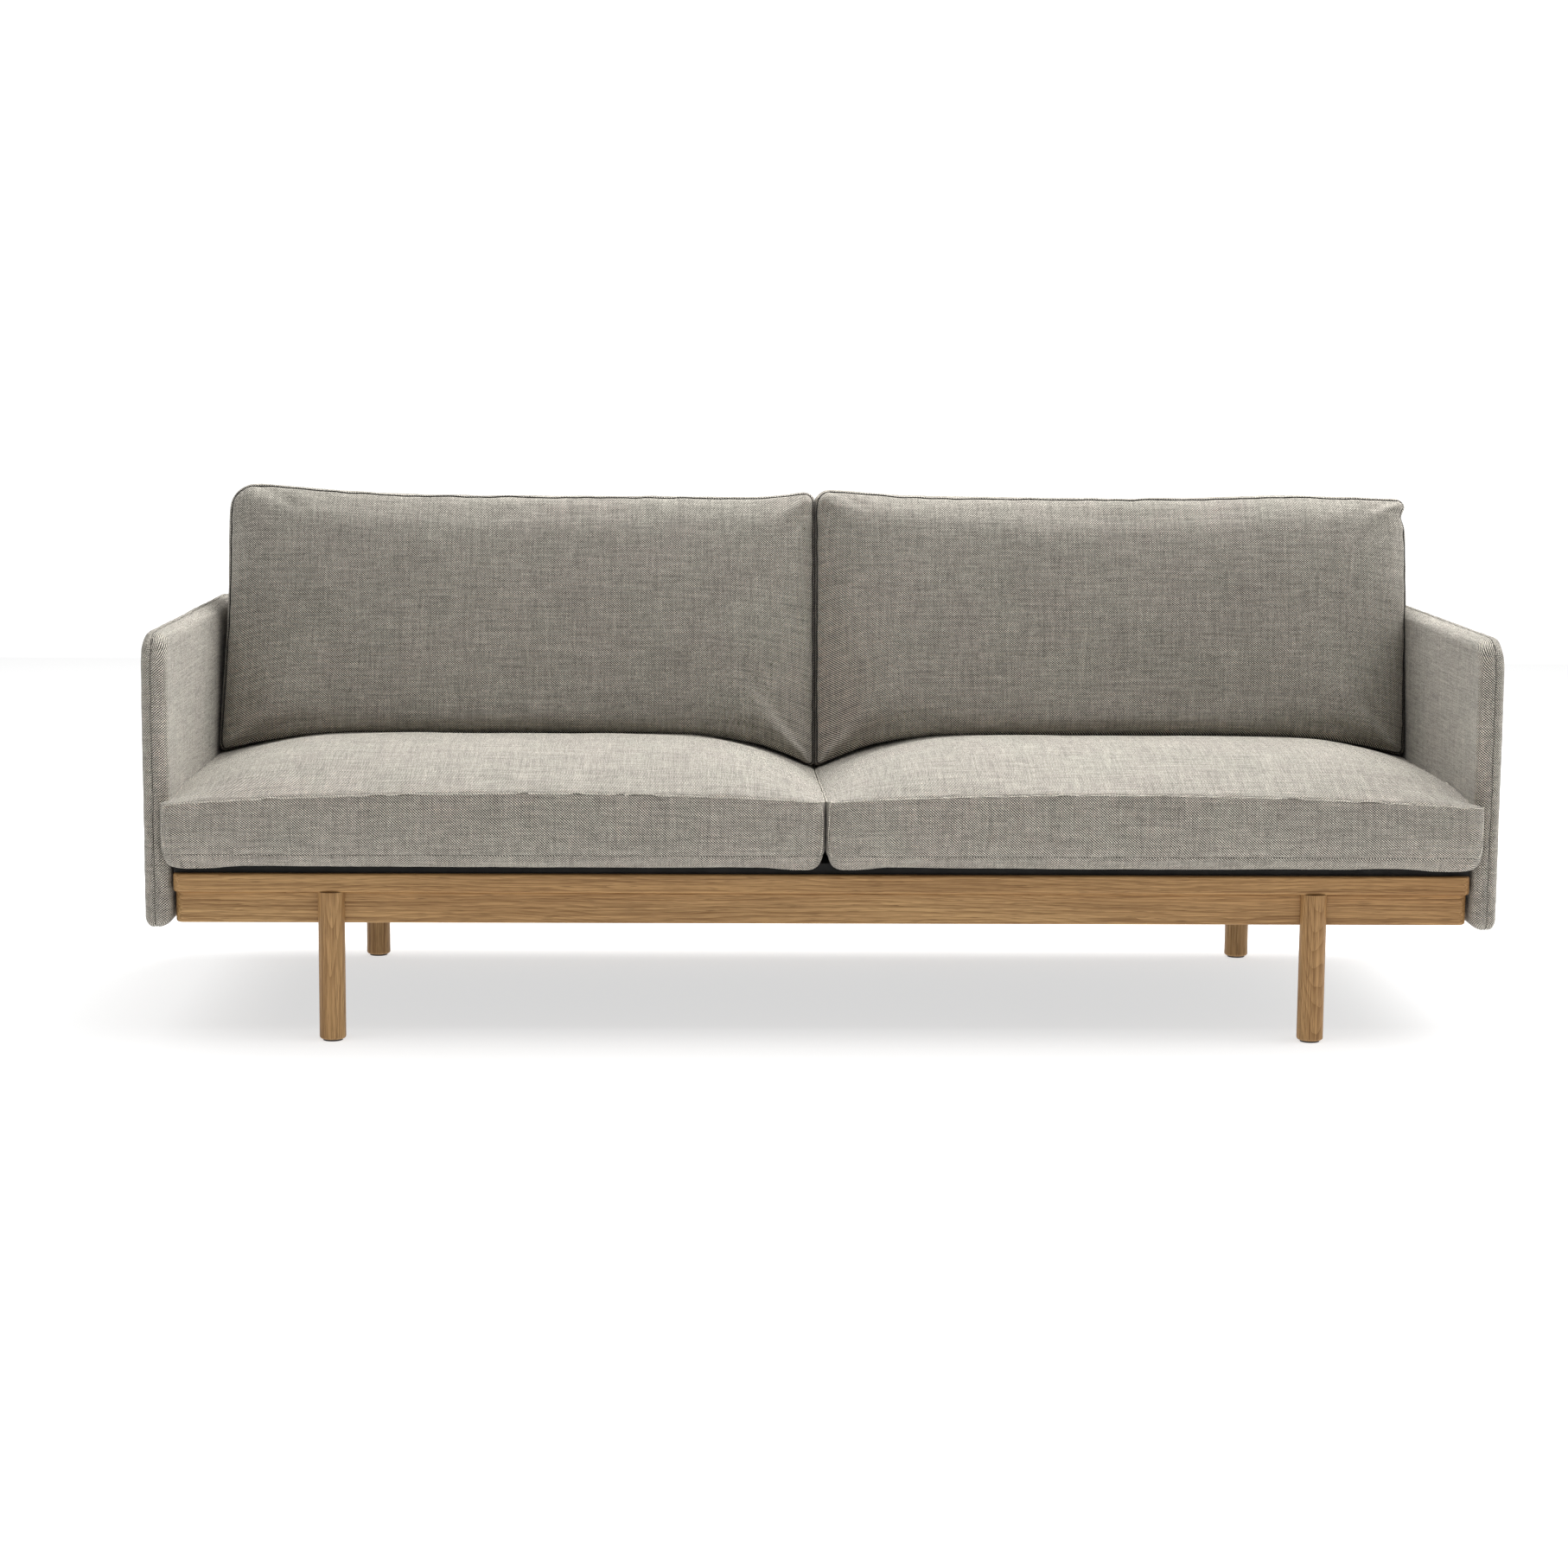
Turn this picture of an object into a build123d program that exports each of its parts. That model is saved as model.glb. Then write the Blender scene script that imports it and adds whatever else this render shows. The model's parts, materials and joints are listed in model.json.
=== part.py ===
from build123d import *
import os

# Sofa with a stepped oak frame, round legs, thin padded arms and loose cushions.
# Millimetres. +Z is up, the front faces -Y, X = 0 is the middle, and the feet stand on Z = 0.

# ---- overall -------------------------------------------------------------------------------
WIDTH = 2200
DEPTH = 900
FRONT = -DEPTH / 2
REAR = DEPTH / 2
FIT = 0.1  # clearance round dowels, bolts, legs and zips
LAYER_GAP = 0.3  # between cloth, padding and foam
MOVING_GAP = 0.6  # between a loose cushion and what it touches

# ---- arm and back panels -------------------------------------------------------------------
PANEL = 44
PANEL_BOTTOM = 183
PANEL_TOP = 664
PANEL_EDGE = 18
ARM_CORNER = 55  # at the top of the front
ARM_HEEL = 22  # at the arm's other three corners
ARM_FRONT = -420
ARM_INNER = WIDTH / 2 - PANEL
BACK_INNER = REAR - PANEL
CLOTH = 1.5
BOARD = 15
BOARD_INSET = (PANEL - BOARD) / 2
CLOSURE_WIDTH = 8
CLOSURE_LENGTH = 600

# ---- oak frame -----------------------------------------------------------------------------
RAIL_TOP = 275.6
RAIL_STEP = 245
RAIL_BOTTOM = 192.6
TOP_RAIL_HALF = 1053
LOWER_RAIL_HALF = 1051.5
TOP_RAIL_WIDE = 70
LOWER_RAIL_THICK = 34
TOP_RAIL_FRONT = -420
LOWER_RAIL_FRONT = -404
LOWER_RAIL_REAR = 331
TOP_RAIL_REAR = 405.5
REAR_LEDGE = 118.5
RAIL_END_ROUND = 14
RAIL_EDGE_ROUND = 4
BEARER_X = 530
BEARER_WIDE = 30
BEARER_DEEP = 50
CORNER_BLOCK = 58

# ---- legs ----------------------------------------------------------------------------------
LEG_R = 21.5
LEG_X = 799
LEG_FRONT_Y = -405
LEG_REAR_Y = 332
LEG_FOOT_ROUND = 4
GLIDE_R = 16
GLIDE_HIGH = 3
LEG_BOLT_Z = 218
M8 = 4.0  # radius of an M8 shank
M6 = 3.0
INSERT_R = 6

# ---- seat platform -------------------------------------------------------------------------
BAR_THICK = 15
BAR_WIDE = 68
PLATFORM_HALF = 1050
PLATFORM_FRONT = -408
PLATFORM_REAR = 400
STRAP_WIDE = 60
STRAP_THICK = 1.4
STRAP_PITCH = 140
STRAPS_PER_SIDE = 7
BLACK_CLOTH = 1
PLATFORM_TOP = RAIL_TOP + BAR_THICK + STRAP_THICK + BLACK_CLOTH

# ---- seat cushions (right one; the left one is its mirror image) -----------------------------
SEAT_X0 = MOVING_GAP
SEAT_X1 = ARM_INNER - MOVING_GAP
SEAT_REAR = BACK_INNER - 4
SEAT_BOTTOM = PLATFORM_TOP + LAYER_GAP
SEAT_SIDE_Z = 396
SEAT_SEAM_Z = 408
SEAT_CROWN = 451
SEAT_SHOULDER = 300  # how far in the crown starts from the sides
SEAT_NOSE = 260  # and from the front and rear
SEAT_CORNER = 26
WRAP = 20
SEAT_ZIP_Z = 348

# ---- back cushions (right one) ---------------------------------------------------------------
BACK_X0 = MOVING_GAP
BACK_X1 = ARM_INNER - 8
BACK_THICK = 240
BACK_HIGH = 497
BACK_LEAN = 12
BACK_FOOT_Y = 62
BACK_FOOT_Z = 388
BACK_ROUND = 42
BACK_ZIP_Z = 110
ZIP_WIDE = 6
SEAT_ZIP_LENGTH = 800
BACK_ZIP_LENGTH = 700


# ---- helpers -------------------------------------------------------------------------------
def block(x0, x1, y0, y1, z0, z1):
    """Box between two opposite corners."""
    middle = Pos((x0 + x1) / 2, (y0 + y1) / 2, (z0 + z1) / 2)
    return middle * Box(x1 - x0, y1 - y0, z1 - z0)


def rod(radius, start, end):
    """Round bar from one point to another."""
    start = Vector(*start)
    run = Vector(*end) - start
    base = (Align.CENTER, Align.CENTER, Align.MIN)
    return Plane(origin=start, z_dir=run) * Cylinder(radius, run.length, align=base)


def mirrored(piece):
    """The same piece on the other side of the sofa."""
    return mirror(piece, about=Plane.YZ)


def both(pieces):
    """Pieces of the right side together with their mirror images."""
    return list(pieces) + [mirrored(piece) for piece in pieces]


def cut(piece, tools):
    """Piece with every tool taken out of it."""
    for tool in tools:
        piece = piece - tool
    return piece


def write(name, *pieces):
    """One STEP file per node, holding one solid or a group of separate solids."""
    solids = [solid for piece in pieces for solid in piece.solids()]
    export_step(solids[0] if len(solids) == 1 else Compound(solids), f"parts/{name}.step")


def write_pair(name, right_piece):
    """A right-hand piece and its left-hand twin."""
    write(f"right_{name}", right_piece)
    write(f"left_{name}", mirrored(right_piece))


# ---- legs, glides and their bolts ------------------------------------------------------------
# Each leg is let half its depth into the lower rail, and a bolt from inside the frame holds it.
LEG_PLACES = {"front": (LEG_FRONT_Y, 1), "rear": (LEG_REAR_Y, -1)}  # leg axis, inward direction


def leg_post(row, radius=LEG_R):
    y, _ = LEG_PLACES[row]
    return rod(radius, (LEG_X, y, GLIDE_HIGH), (LEG_X, y, RAIL_STEP))


def rail_inside(row):
    """Inner face of the front or rear lower rail."""
    return LOWER_RAIL_FRONT + LOWER_RAIL_THICK if row == "front" else LOWER_RAIL_REAR - LOWER_RAIL_THICK


def leg_bolt(row, grow=0.0):
    y, inward = LEG_PLACES[row]
    face = rail_inside(row)
    head = rod(6.5 + grow, (LEG_X, face, LEG_BOLT_Z), (LEG_X, face + 8 * inward, LEG_BOLT_Z))
    shank = rod(M8 - 0.05 + grow, (LEG_X, y, LEG_BOLT_Z), (LEG_X, face + inward, LEG_BOLT_Z))
    return head + shank


def leg_insert(row, grow=0.0):
    """Threaded bush in the back of the leg, flush with its surface."""
    y, inward = LEG_PLACES[row]
    start = (LEG_X, y - 1 * inward, LEG_BOLT_Z)
    end = (LEG_X, y + (LEG_R - 1) * inward, LEG_BOLT_Z)
    bush = rod(INSERT_R + grow, start, end)
    return bush if grow else bush - rod(M8, start, end)


def leg_glide(row, grow=0.0):
    """Low disc with a nail into the end of the leg."""
    y, _ = LEG_PLACES[row]
    disc = rod(GLIDE_R, (LEG_X, y, 0), (LEG_X, y, GLIDE_HIGH))
    return disc + rod(1.5 + grow, (LEG_X, y, 1), (LEG_X, y, 16))


def leg(row):
    post = leg_post(row)
    post = fillet(post.edges().sort_by(Axis.Z)[0], LEG_FOOT_ROUND)
    return cut(post, [leg_insert(row, FIT), leg_bolt(row, FIT), leg_glide(row, FIT)])


# ---- dowels ----------------------------------------------------------------------------------
def rail_dowels(grow=0.0):
    """Upright dowels between lower and top rails, right side."""
    dowels = []
    for y in (LOWER_RAIL_FRONT + LOWER_RAIL_THICK / 2, LOWER_RAIL_REAR - LOWER_RAIL_THICK / 2):
        for x in (150, 450, 700, 920):
            dowels.append(rod(4 + grow, (x, y, RAIL_STEP - 20), (x, y, RAIL_STEP + 20)))
    x = LOWER_RAIL_HALF - LOWER_RAIL_THICK / 2
    for y in (-220, 140):
        dowels.append(rod(4 + grow, (x, y, RAIL_STEP - 20), (x, y, RAIL_STEP + 20)))
    return dowels


def bearer_dowels(x, grow=0.0):
    """Level dowels from the top rails into the ends of a bearer."""
    z = RAIL_TOP - 15
    ends = (TOP_RAIL_FRONT + TOP_RAIL_WIDE, TOP_RAIL_REAR - REAR_LEDGE)
    return [rod(4 + grow, (x, end - 20, z), (x, end + 20, z)) for end in ends]


# ---- rails -----------------------------------------------------------------------------------
def long_rail(half, y_out, y_in, z0, z1):
    """Front or rear rail: rounded at its outer corners and along its outer edges."""
    rail = block(-half, half, min(y_out, y_in), max(y_out, y_in), z0, z1)
    corners = rail.edges().filter_by(Axis.Z).filter_by(lambda e: abs(e.center().Y - y_out) < 1)
    rail = fillet(corners, RAIL_END_ROUND)
    face = rail.faces().filter_by(Axis.Y).filter_by(lambda f: abs(f.center().Y - y_out) < 1)[0]
    edges = face.edges().filter_by(Axis.X)
    return fillet(edges, RAIL_EDGE_ROUND)


def front_top_rail():
    inner = TOP_RAIL_FRONT + TOP_RAIL_WIDE
    rail = long_rail(TOP_RAIL_HALF, TOP_RAIL_FRONT, inner, RAIL_STEP, RAIL_TOP)
    return cut(rail, top_rail_holes())


def rear_top_rail():
    """Wider than the front one, because the back panel is held under it."""
    inner = TOP_RAIL_REAR - REAR_LEDGE
    rail = block(-TOP_RAIL_HALF, TOP_RAIL_HALF, inner, TOP_RAIL_REAR, RAIL_STEP, RAIL_TOP)
    return cut(rail, top_rail_holes() + both(bracket_screws(FIT)))


def top_rail_holes():
    bearer_holes = [hole for x in (-BEARER_X, 0, BEARER_X) for hole in bearer_dowels(x, FIT)]
    return both(rail_dowels(FIT)) + both(platform_screws(FIT)) + bearer_holes


def side_top_rail():
    y0 = TOP_RAIL_FRONT + TOP_RAIL_WIDE
    y1 = TOP_RAIL_REAR - REAR_LEDGE
    rail = block(TOP_RAIL_HALF - TOP_RAIL_WIDE, TOP_RAIL_HALF, y0, y1, RAIL_STEP, RAIL_TOP)
    return cut(rail, rail_dowels(FIT) + platform_screws(FIT))


def lower_rail(row):
    """Front or rear lower rail with half-round housings for the legs."""
    outer = LOWER_RAIL_FRONT if row == "front" else LOWER_RAIL_REAR
    rail = long_rail(LOWER_RAIL_HALF, outer, rail_inside(row), RAIL_BOTTOM, RAIL_STEP)
    tools = [leg_post(row, LEG_R + FIT), leg_bolt(row, FIT)] + rail_dowels(FIT)
    return cut(rail, both(tools))


def side_lower_rail():
    x0 = LOWER_RAIL_HALF - LOWER_RAIL_THICK
    rail = block(x0, LOWER_RAIL_HALF, rail_inside("front"), rail_inside("rear"), RAIL_BOTTOM, RAIL_STEP)
    return cut(rail, rail_dowels(FIT) + arm_bolts(FIT))


def bearer(x):
    y0 = TOP_RAIL_FRONT + TOP_RAIL_WIDE
    y1 = TOP_RAIL_REAR - REAR_LEDGE
    bar = block(x - BEARER_WIDE / 2, x + BEARER_WIDE / 2, y0, y1, RAIL_TOP - BEARER_DEEP, RAIL_TOP)
    return cut(bar, bearer_dowels(x, FIT))


def corner_block(row):
    """Three-cornered block glued into the corner of the lower rails."""
    _, inward = LEG_PLACES[row]
    x = LOWER_RAIL_HALF - LOWER_RAIL_THICK
    y = rail_inside(row)
    outline = Polyline((x, y), (x - CORNER_BLOCK, y), (x, y + CORNER_BLOCK * inward), close=True)
    face = Pos(0, 0, RAIL_BOTTOM + 3) * make_face(outline)
    return extrude(face, RAIL_STEP - RAIL_BOTTOM - 6, dir=(0, 0, 1))


# ---- seat platform ---------------------------------------------------------------------------
def platform_bar(x0, x1, y0, y1):
    bar = block(x0, x1, y0, y1, RAIL_TOP, RAIL_TOP + BAR_THICK)
    return cut(bar, both(platform_screws(FIT)))


def platform_screws(grow=0.0):
    """Flush wood screws from the platform bars into the top rails, right side."""
    places = [(x, y) for x in (300, 600, 860) for y in (-372, 356)]
    places += [(PLATFORM_HALF - 32, y) for y in (-120, 60)]
    top = RAIL_TOP + BAR_THICK
    screws = []
    for x, y in places:
        head = rod(4.5 + grow, (x, y, top - 3), (x, y, top))
        screws.append(head + rod(2.2 + grow, (x, y, top - 35), (x, y, top - 2)))
    return screws


def webbing_strap(x):
    z = RAIL_TOP + BAR_THICK
    half = STRAP_WIDE / 2
    return block(x - half, x + half, PLATFORM_FRONT + 8, PLATFORM_REAR - 8, z, z + STRAP_THICK)


def platform_cloth():
    """Black cloth over the webbing, turned down over the bars on all four sides."""
    half = PLATFORM_HALF + LAYER_GAP
    front = PLATFORM_FRONT - LAYER_GAP
    rear = PLATFORM_REAR + LAYER_GAP
    thick = BLACK_CLOTH
    outside = block(-half - thick, half + thick, front - thick, rear + thick, RAIL_TOP, PLATFORM_TOP)
    inside = block(-half, half, front, rear, RAIL_TOP, PLATFORM_TOP - thick)
    return outside - inside


def dust_cloth():
    """Black cloth stapled under the lower rails, between the legs."""
    edge = 10
    x = LOWER_RAIL_HALF - 20
    y0 = rail_inside("front") - edge
    y1 = rail_inside("rear") + edge
    return block(-x, x, y0, y1, RAIL_BOTTOM - BLACK_CLOTH, RAIL_BOTTOM)


# ---- arm and back panels ---------------------------------------------------------------------
def arm_slab(x0, x1, inset):
    """Upright slab between two sides: a large radius at the top of the front, smaller ones elsewhere."""
    front, rear = ARM_FRONT + inset, REAR - inset
    bottom = PANEL_BOTTOM + inset
    slab = block(x0, x1, front, rear, bottom, PANEL_TOP - inset)
    front_edges = slab.edges().filter_by(Axis.X).filter_by(lambda e: e.center().Y < 0)
    slab = fillet(front_edges.sort_by(Axis.Z)[-1], ARM_CORNER - inset)
    other_edges = slab.edges().filter_by(Axis.X).filter_by(
        lambda e: e.center().Z < bottom + 1 or e.center().Y > rear - 1)
    return fillet(other_edges, ARM_HEEL - inset)


def arm_form(inset):
    """Right arm, upright and rounded all round, shrunk on every side by inset."""
    slab = arm_slab(ARM_INNER + inset, WIDTH / 2 - inset, inset)
    sides = slab.faces().filter_by(lambda f: abs(f.normal_at(f.center()).X) > 0.99)
    return fillet(sides.edges(), PANEL_EDGE - inset)


def back_form(inset):
    """Back panel between the arms, shrunk on every side by inset."""
    half = ARM_INNER - FIT - inset
    slab = block(-half, half, BACK_INNER + inset, REAR - inset, PANEL_BOTTOM + inset, PANEL_TOP - inset)
    return fillet(slab.edges().filter_by(Axis.X), PANEL_EDGE - inset)


def arm_board():
    x0 = ARM_INNER + BOARD_INSET
    return arm_slab(x0, x0 + BOARD, BOARD_INSET)


def back_board():
    edge = BOARD_INSET
    y0 = BACK_INNER + edge
    half = ARM_INNER - edge
    return block(-half, half, y0, y0 + BOARD, PANEL_BOTTOM + edge, PANEL_TOP - edge)


def arm_closure(grow=0.0):
    """Hook-and-loop strip in the slit under the arm's cover."""
    x = ARM_INNER + PANEL / 2
    half = CLOSURE_WIDTH / 2 + grow
    y = CLOSURE_LENGTH / 2 + grow
    return block(x - half, x + half, -y, y, PANEL_BOTTOM - grow, PANEL_BOTTOM + CLOTH + grow)


def back_closure(grow=0.0):
    y = REAR - PANEL / 2
    half = CLOSURE_WIDTH / 2 + grow
    x = CLOSURE_LENGTH + grow
    return block(-x, x, y - half, y + half, PANEL_BOTTOM - grow, PANEL_BOTTOM + CLOTH + grow)


ARM_BOLT_Y = (-290, -40, 220)
ARM_BOLT_Z = (RAIL_BOTTOM + RAIL_STEP) / 2
BOARD_OUTSIDE = ARM_INNER + BOARD_INSET + BOARD
NUT_FLANGE = 1.5


def arm_bolts(grow=0.0):
    """Bolts from inside the side rail into nuts on the arm board."""
    bolts = []
    inside = LOWER_RAIL_HALF - LOWER_RAIL_THICK
    for y in ARM_BOLT_Y:
        head = rod(6.5 + grow, (inside - 8, y, ARM_BOLT_Z), (inside, y, ARM_BOLT_Z))
        shank = rod(M8 - 0.05 + grow, (inside - 1, y, ARM_BOLT_Z), (BOARD_OUTSIDE, y, ARM_BOLT_Z))
        bolts.append(head + shank)
    return bolts


def arm_spacers():
    """Rings between the side rail and the arm."""
    rings = []
    for y in ARM_BOLT_Y:
        start = (LOWER_RAIL_HALF, y, ARM_BOLT_Z)
        end = (ARM_INNER, y, ARM_BOLT_Z)
        rings.append(rod(12, start, end) - rod(M8 + FIT, start, end))
    return rings


def pronged_nut(bore, face, into, grow=0.0):
    """Nut with a flange on the far face of a board and a barrel in it."""
    face = Vector(*face)
    into = Vector(*into)
    barrel_end = face + into * (BOARD - 2)
    flange_end = face - into * NUT_FLANGE
    flange = rod(10 + grow, face, flange_end)
    body = flange + rod(bore + 1.2 + grow, flange_end, barrel_end)
    return body if grow else body - rod(bore, flange_end, barrel_end)


def arm_nuts(grow=0.0):
    return [pronged_nut(M8, (BOARD_OUTSIDE, y, ARM_BOLT_Z), (-1, 0, 0), grow) for y in ARM_BOLT_Y]


CORNER_BOLT_Z = (300, 560)


def corner_bolts(grow=0.0):
    """Long screws from the arm board into the end of the back board."""
    y = REAR - PANEL / 2
    bolts = []
    for z in CORNER_BOLT_Z:
        head = rod(7 + grow, (BOARD_OUTSIDE, y, z), (BOARD_OUTSIDE + 3, y, z))
        bolts.append(head + rod(M6 + grow, (ARM_INNER - 70, y, z), (BOARD_OUTSIDE + 1, y, z)))
    return bolts


BRACKET_X = (0, 600)
BRACKET_HALF = 30
BRACKET_THICK = 4
BRACKET_FOOT = 45
BRACKET_DROP = 42
BACK_BOLT_Z = 219
BRACKET_HOLE = 18  # each side of the bracket's middle


def bracket_places():
    """X of every bracket on the right half, the middle one included."""
    return [x + side * BRACKET_HOLE for x in BRACKET_X for side in (-1, 1)]


def back_bracket(x):
    """Steel angle under the rear ledge, standing against the back panel."""
    x0, x1 = x - BRACKET_HALF, x + BRACKET_HALF
    y0, y1 = TOP_RAIL_REAR - BRACKET_FOOT, TOP_RAIL_REAR
    foot = block(x0, x1, y0, y1, RAIL_STEP - BRACKET_THICK, RAIL_STEP)
    web = block(x0, x1, y1 - BRACKET_THICK, y1, RAIL_STEP - BRACKET_DROP, RAIL_STEP)
    angle = foot + web
    return cut(angle, both(bracket_screws(FIT)) + both(back_bolts(FIT)))


def bracket_screws(grow=0.0):
    """Short screws up into the rear ledge."""
    screws = []
    y = TOP_RAIL_REAR - BRACKET_FOOT / 2 - 4
    low = RAIL_STEP - BRACKET_THICK
    for x in bracket_places():
        if x > 0:
            head = rod(4.5 + grow, (x, y, low - 3), (x, y, low))
            screws.append(head + rod(2.2 + grow, (x, y, low - 1), (x, y, low + 24)))
    return screws


def back_bolts(grow=0.0):
    """Bolts through the brackets into nuts on the back board."""
    bolts = []
    face = TOP_RAIL_REAR - BRACKET_THICK
    board_rear = BACK_INNER + BOARD_INSET + BOARD
    for x in bracket_places():
        if x > 0:
            head = rod(5 + grow, (x, face - 4, BACK_BOLT_Z), (x, face, BACK_BOLT_Z))
            shank = rod(M6 - 0.05 + grow, (x, face - 1, BACK_BOLT_Z), (x, board_rear, BACK_BOLT_Z))
            bolts.append(head + shank)
    return bolts


def back_nuts(grow=0.0):
    board_rear = BACK_INNER + BOARD_INSET + BOARD
    places = [x for x in bracket_places() if x > 0]
    return [pronged_nut(M6, (x, board_rear, BACK_BOLT_Z), (0, -1, 0), grow) for x in places]


def arm_tools():
    return arm_bolts(FIT) + arm_nuts(FIT) + corner_bolts(FIT)


def back_tools():
    return both(back_bolts(FIT) + back_nuts(FIT) + corner_bolts(FIT))


def write_arm_panels():
    board = arm_board()
    padding = arm_form(CLOTH + LAYER_GAP) - board
    cover = arm_form(0) - arm_form(CLOTH) - arm_closure(FIT)
    write_pair("arm_board", cut(board, arm_tools()))
    write_pair("arm_padding", cut(padding, arm_tools()))
    write_pair("arm_cover", cut(cover, arm_tools()))


def write_back_panel():
    board = back_board()
    padding = back_form(CLOTH + LAYER_GAP) - board
    cover = back_form(0) - back_form(CLOTH) - back_closure(FIT)
    write("back_panel_board", cut(board, back_tools()))
    write("back_panel_padding", cut(padding, back_tools()))
    write("back_panel_cover", cut(cover, back_tools()))


# ---- seat cushions ---------------------------------------------------------------------------
def domed_outline(x0, x1, side, rise, flank, inset):
    """Section of a cushion: flat foot with round corners, upright sides, elliptical shoulders.

    The shoulders start at height side and rise to the crown over a length of flank. An inner
    layer lies inset below the outer one, shoulders and all.
    """
    low = SEAT_BOTTOM + inset
    side = side - inset
    corner = SEAT_CORNER - inset
    a, b = x0 + inset, x1 - inset
    wide = flank - inset
    top = side + rise
    edges = [
        Line((a, side), (a, low + corner)),
        CenterArc((a + corner, low + corner), corner, 180, 90),
        Line((a + corner, low), (b - corner, low)),
        CenterArc((b - corner, low + corner), corner, 270, 90),
        Line((b, low + corner), (b, side)),
        EllipticalCenterArc((x1 - flank, side), wide, rise, start_angle=0, arc_size=90),
        Line((x1 - flank, top), (x0 + flank, top)),
        EllipticalCenterArc((x0 + flank, side), wide, rise, start_angle=90, arc_size=90),
    ]
    return make_face(edges)


def seat_across(inset):
    """The cushion's section across the sofa, drawn out from front to back."""
    rise = SEAT_CROWN - SEAT_SIDE_Z
    face = domed_outline(SEAT_X0, SEAT_X1, SEAT_SIDE_Z, rise, SEAT_SHOULDER, inset)
    return extrude(Plane.XZ * face, DEPTH, both=True)


def seat_form(inset):
    rise = SEAT_CROWN - SEAT_SEAM_Z
    face = domed_outline(FRONT, SEAT_REAR, SEAT_SEAM_Z, rise, SEAT_NOSE, inset)
    along = extrude(Plane.YZ * face, WIDTH, both=True)
    return seat_across(inset) & along


def zip_strip(length, x, y, z, grow=0.0):
    """Zip chain with its slider, flush in a cover's rear face at y."""
    half = length / 2 + grow
    high = ZIP_WIDE / 2 + grow
    return block(x - half, x + half, y - CLOTH - grow, y + grow, z - high, z + high)


def zip_with_slider(length, x, y, z):
    slider_x = x + length / 2 - 12
    slider = block(slider_x - 5, slider_x + 5, y - CLOTH, y + 1.5, z - 2.5, z + 2.5)
    return zip_strip(length, x, y, z) + slider


def write_seat_cushions():
    middle = (SEAT_X0 + SEAT_X1) / 2
    core = seat_form(CLOTH + 2 * LAYER_GAP + WRAP)
    hollow = seat_form(CLOTH + LAYER_GAP + WRAP)
    # The fibre wrap goes over the core's top, front and foot, and is open at the rear.
    edge = WRAP + 4
    rear_gap = block(SEAT_X0 + edge, SEAT_X1 - edge, 0, REAR, SEAT_BOTTOM + edge, SEAT_SEAM_Z - 5)
    wrap = seat_form(CLOTH + LAYER_GAP) - hollow - rear_gap
    slot = zip_strip(SEAT_ZIP_LENGTH, middle, SEAT_REAR, SEAT_ZIP_Z, FIT)
    cover = seat_form(0) - seat_form(CLOTH) - slot
    write_pair("seat_cushion_core", core)
    write_pair("seat_cushion_wrap", wrap)
    write_pair("seat_cushion_cover", cover)
    write_pair("seat_cushion_zip", zip_with_slider(SEAT_ZIP_LENGTH, middle, SEAT_REAR, SEAT_ZIP_Z))


# ---- back cushions ---------------------------------------------------------------------------
BACK_PLACE = Pos(0, BACK_FOOT_Y, BACK_FOOT_Z) * Rot(-BACK_LEAN, 0, 0)


def back_cushion_form(inset):
    """Leaning cushion, rounded on top and down its sides, cut to sit on the seat cushion."""
    slab = block(BACK_X0 + inset, BACK_X1 - inset, inset, BACK_THICK - inset, 0, BACK_HIGH - inset)
    rounded = slab.edges().filter_by(lambda e: e.center().Z > 1)
    slab = fillet(rounded, BACK_ROUND - inset)
    return BACK_PLACE * slab - seat_across(-MOVING_GAP - inset)


def write_back_cushions():
    middle = (BACK_X0 + BACK_X1) / 2
    slot = BACK_PLACE * zip_strip(BACK_ZIP_LENGTH, middle, BACK_THICK, BACK_ZIP_Z, FIT)
    cover = back_cushion_form(0) - back_cushion_form(CLOTH) - slot
    zipper = BACK_PLACE * zip_with_slider(BACK_ZIP_LENGTH, middle, BACK_THICK, BACK_ZIP_Z)
    write_pair("back_cushion_cover", cover)
    write_pair("back_cushion_filling", back_cushion_form(CLOTH + LAYER_GAP))
    write_pair("back_cushion_zip", zipper)


# ---- everything ------------------------------------------------------------------------------
def write_frame():
    write("front_top_rail", front_top_rail())
    write("rear_top_rail", rear_top_rail())
    write_pair("top_rail", side_top_rail())
    write("front_lower_rail", lower_rail("front"))
    write("rear_lower_rail", lower_rail("rear"))
    write_pair("lower_rail", side_lower_rail())
    for name, x in (("left", -BEARER_X), ("centre", 0), ("right", BEARER_X)):
        write(f"{name}_bearer", bearer(x))
    write("corner_blocks", *both([corner_block("front"), corner_block("rear")]))
    bearer_pins = [dowel for x in (-BEARER_X, 0, BEARER_X) for dowel in bearer_dowels(x)]
    write("frame_dowels", *both(rail_dowels()), *bearer_pins)


def write_legs():
    for row in LEG_PLACES:
        write(f"{row}_right_leg", leg(row))
        write(f"{row}_left_leg", mirrored(leg(row)))
    write("leg_bolts", *both([leg_bolt(row) for row in LEG_PLACES]))
    write("leg_inserts", *both([leg_insert(row) for row in LEG_PLACES]))
    write("leg_glides", *both([leg_glide(row) for row in LEG_PLACES]))


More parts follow.
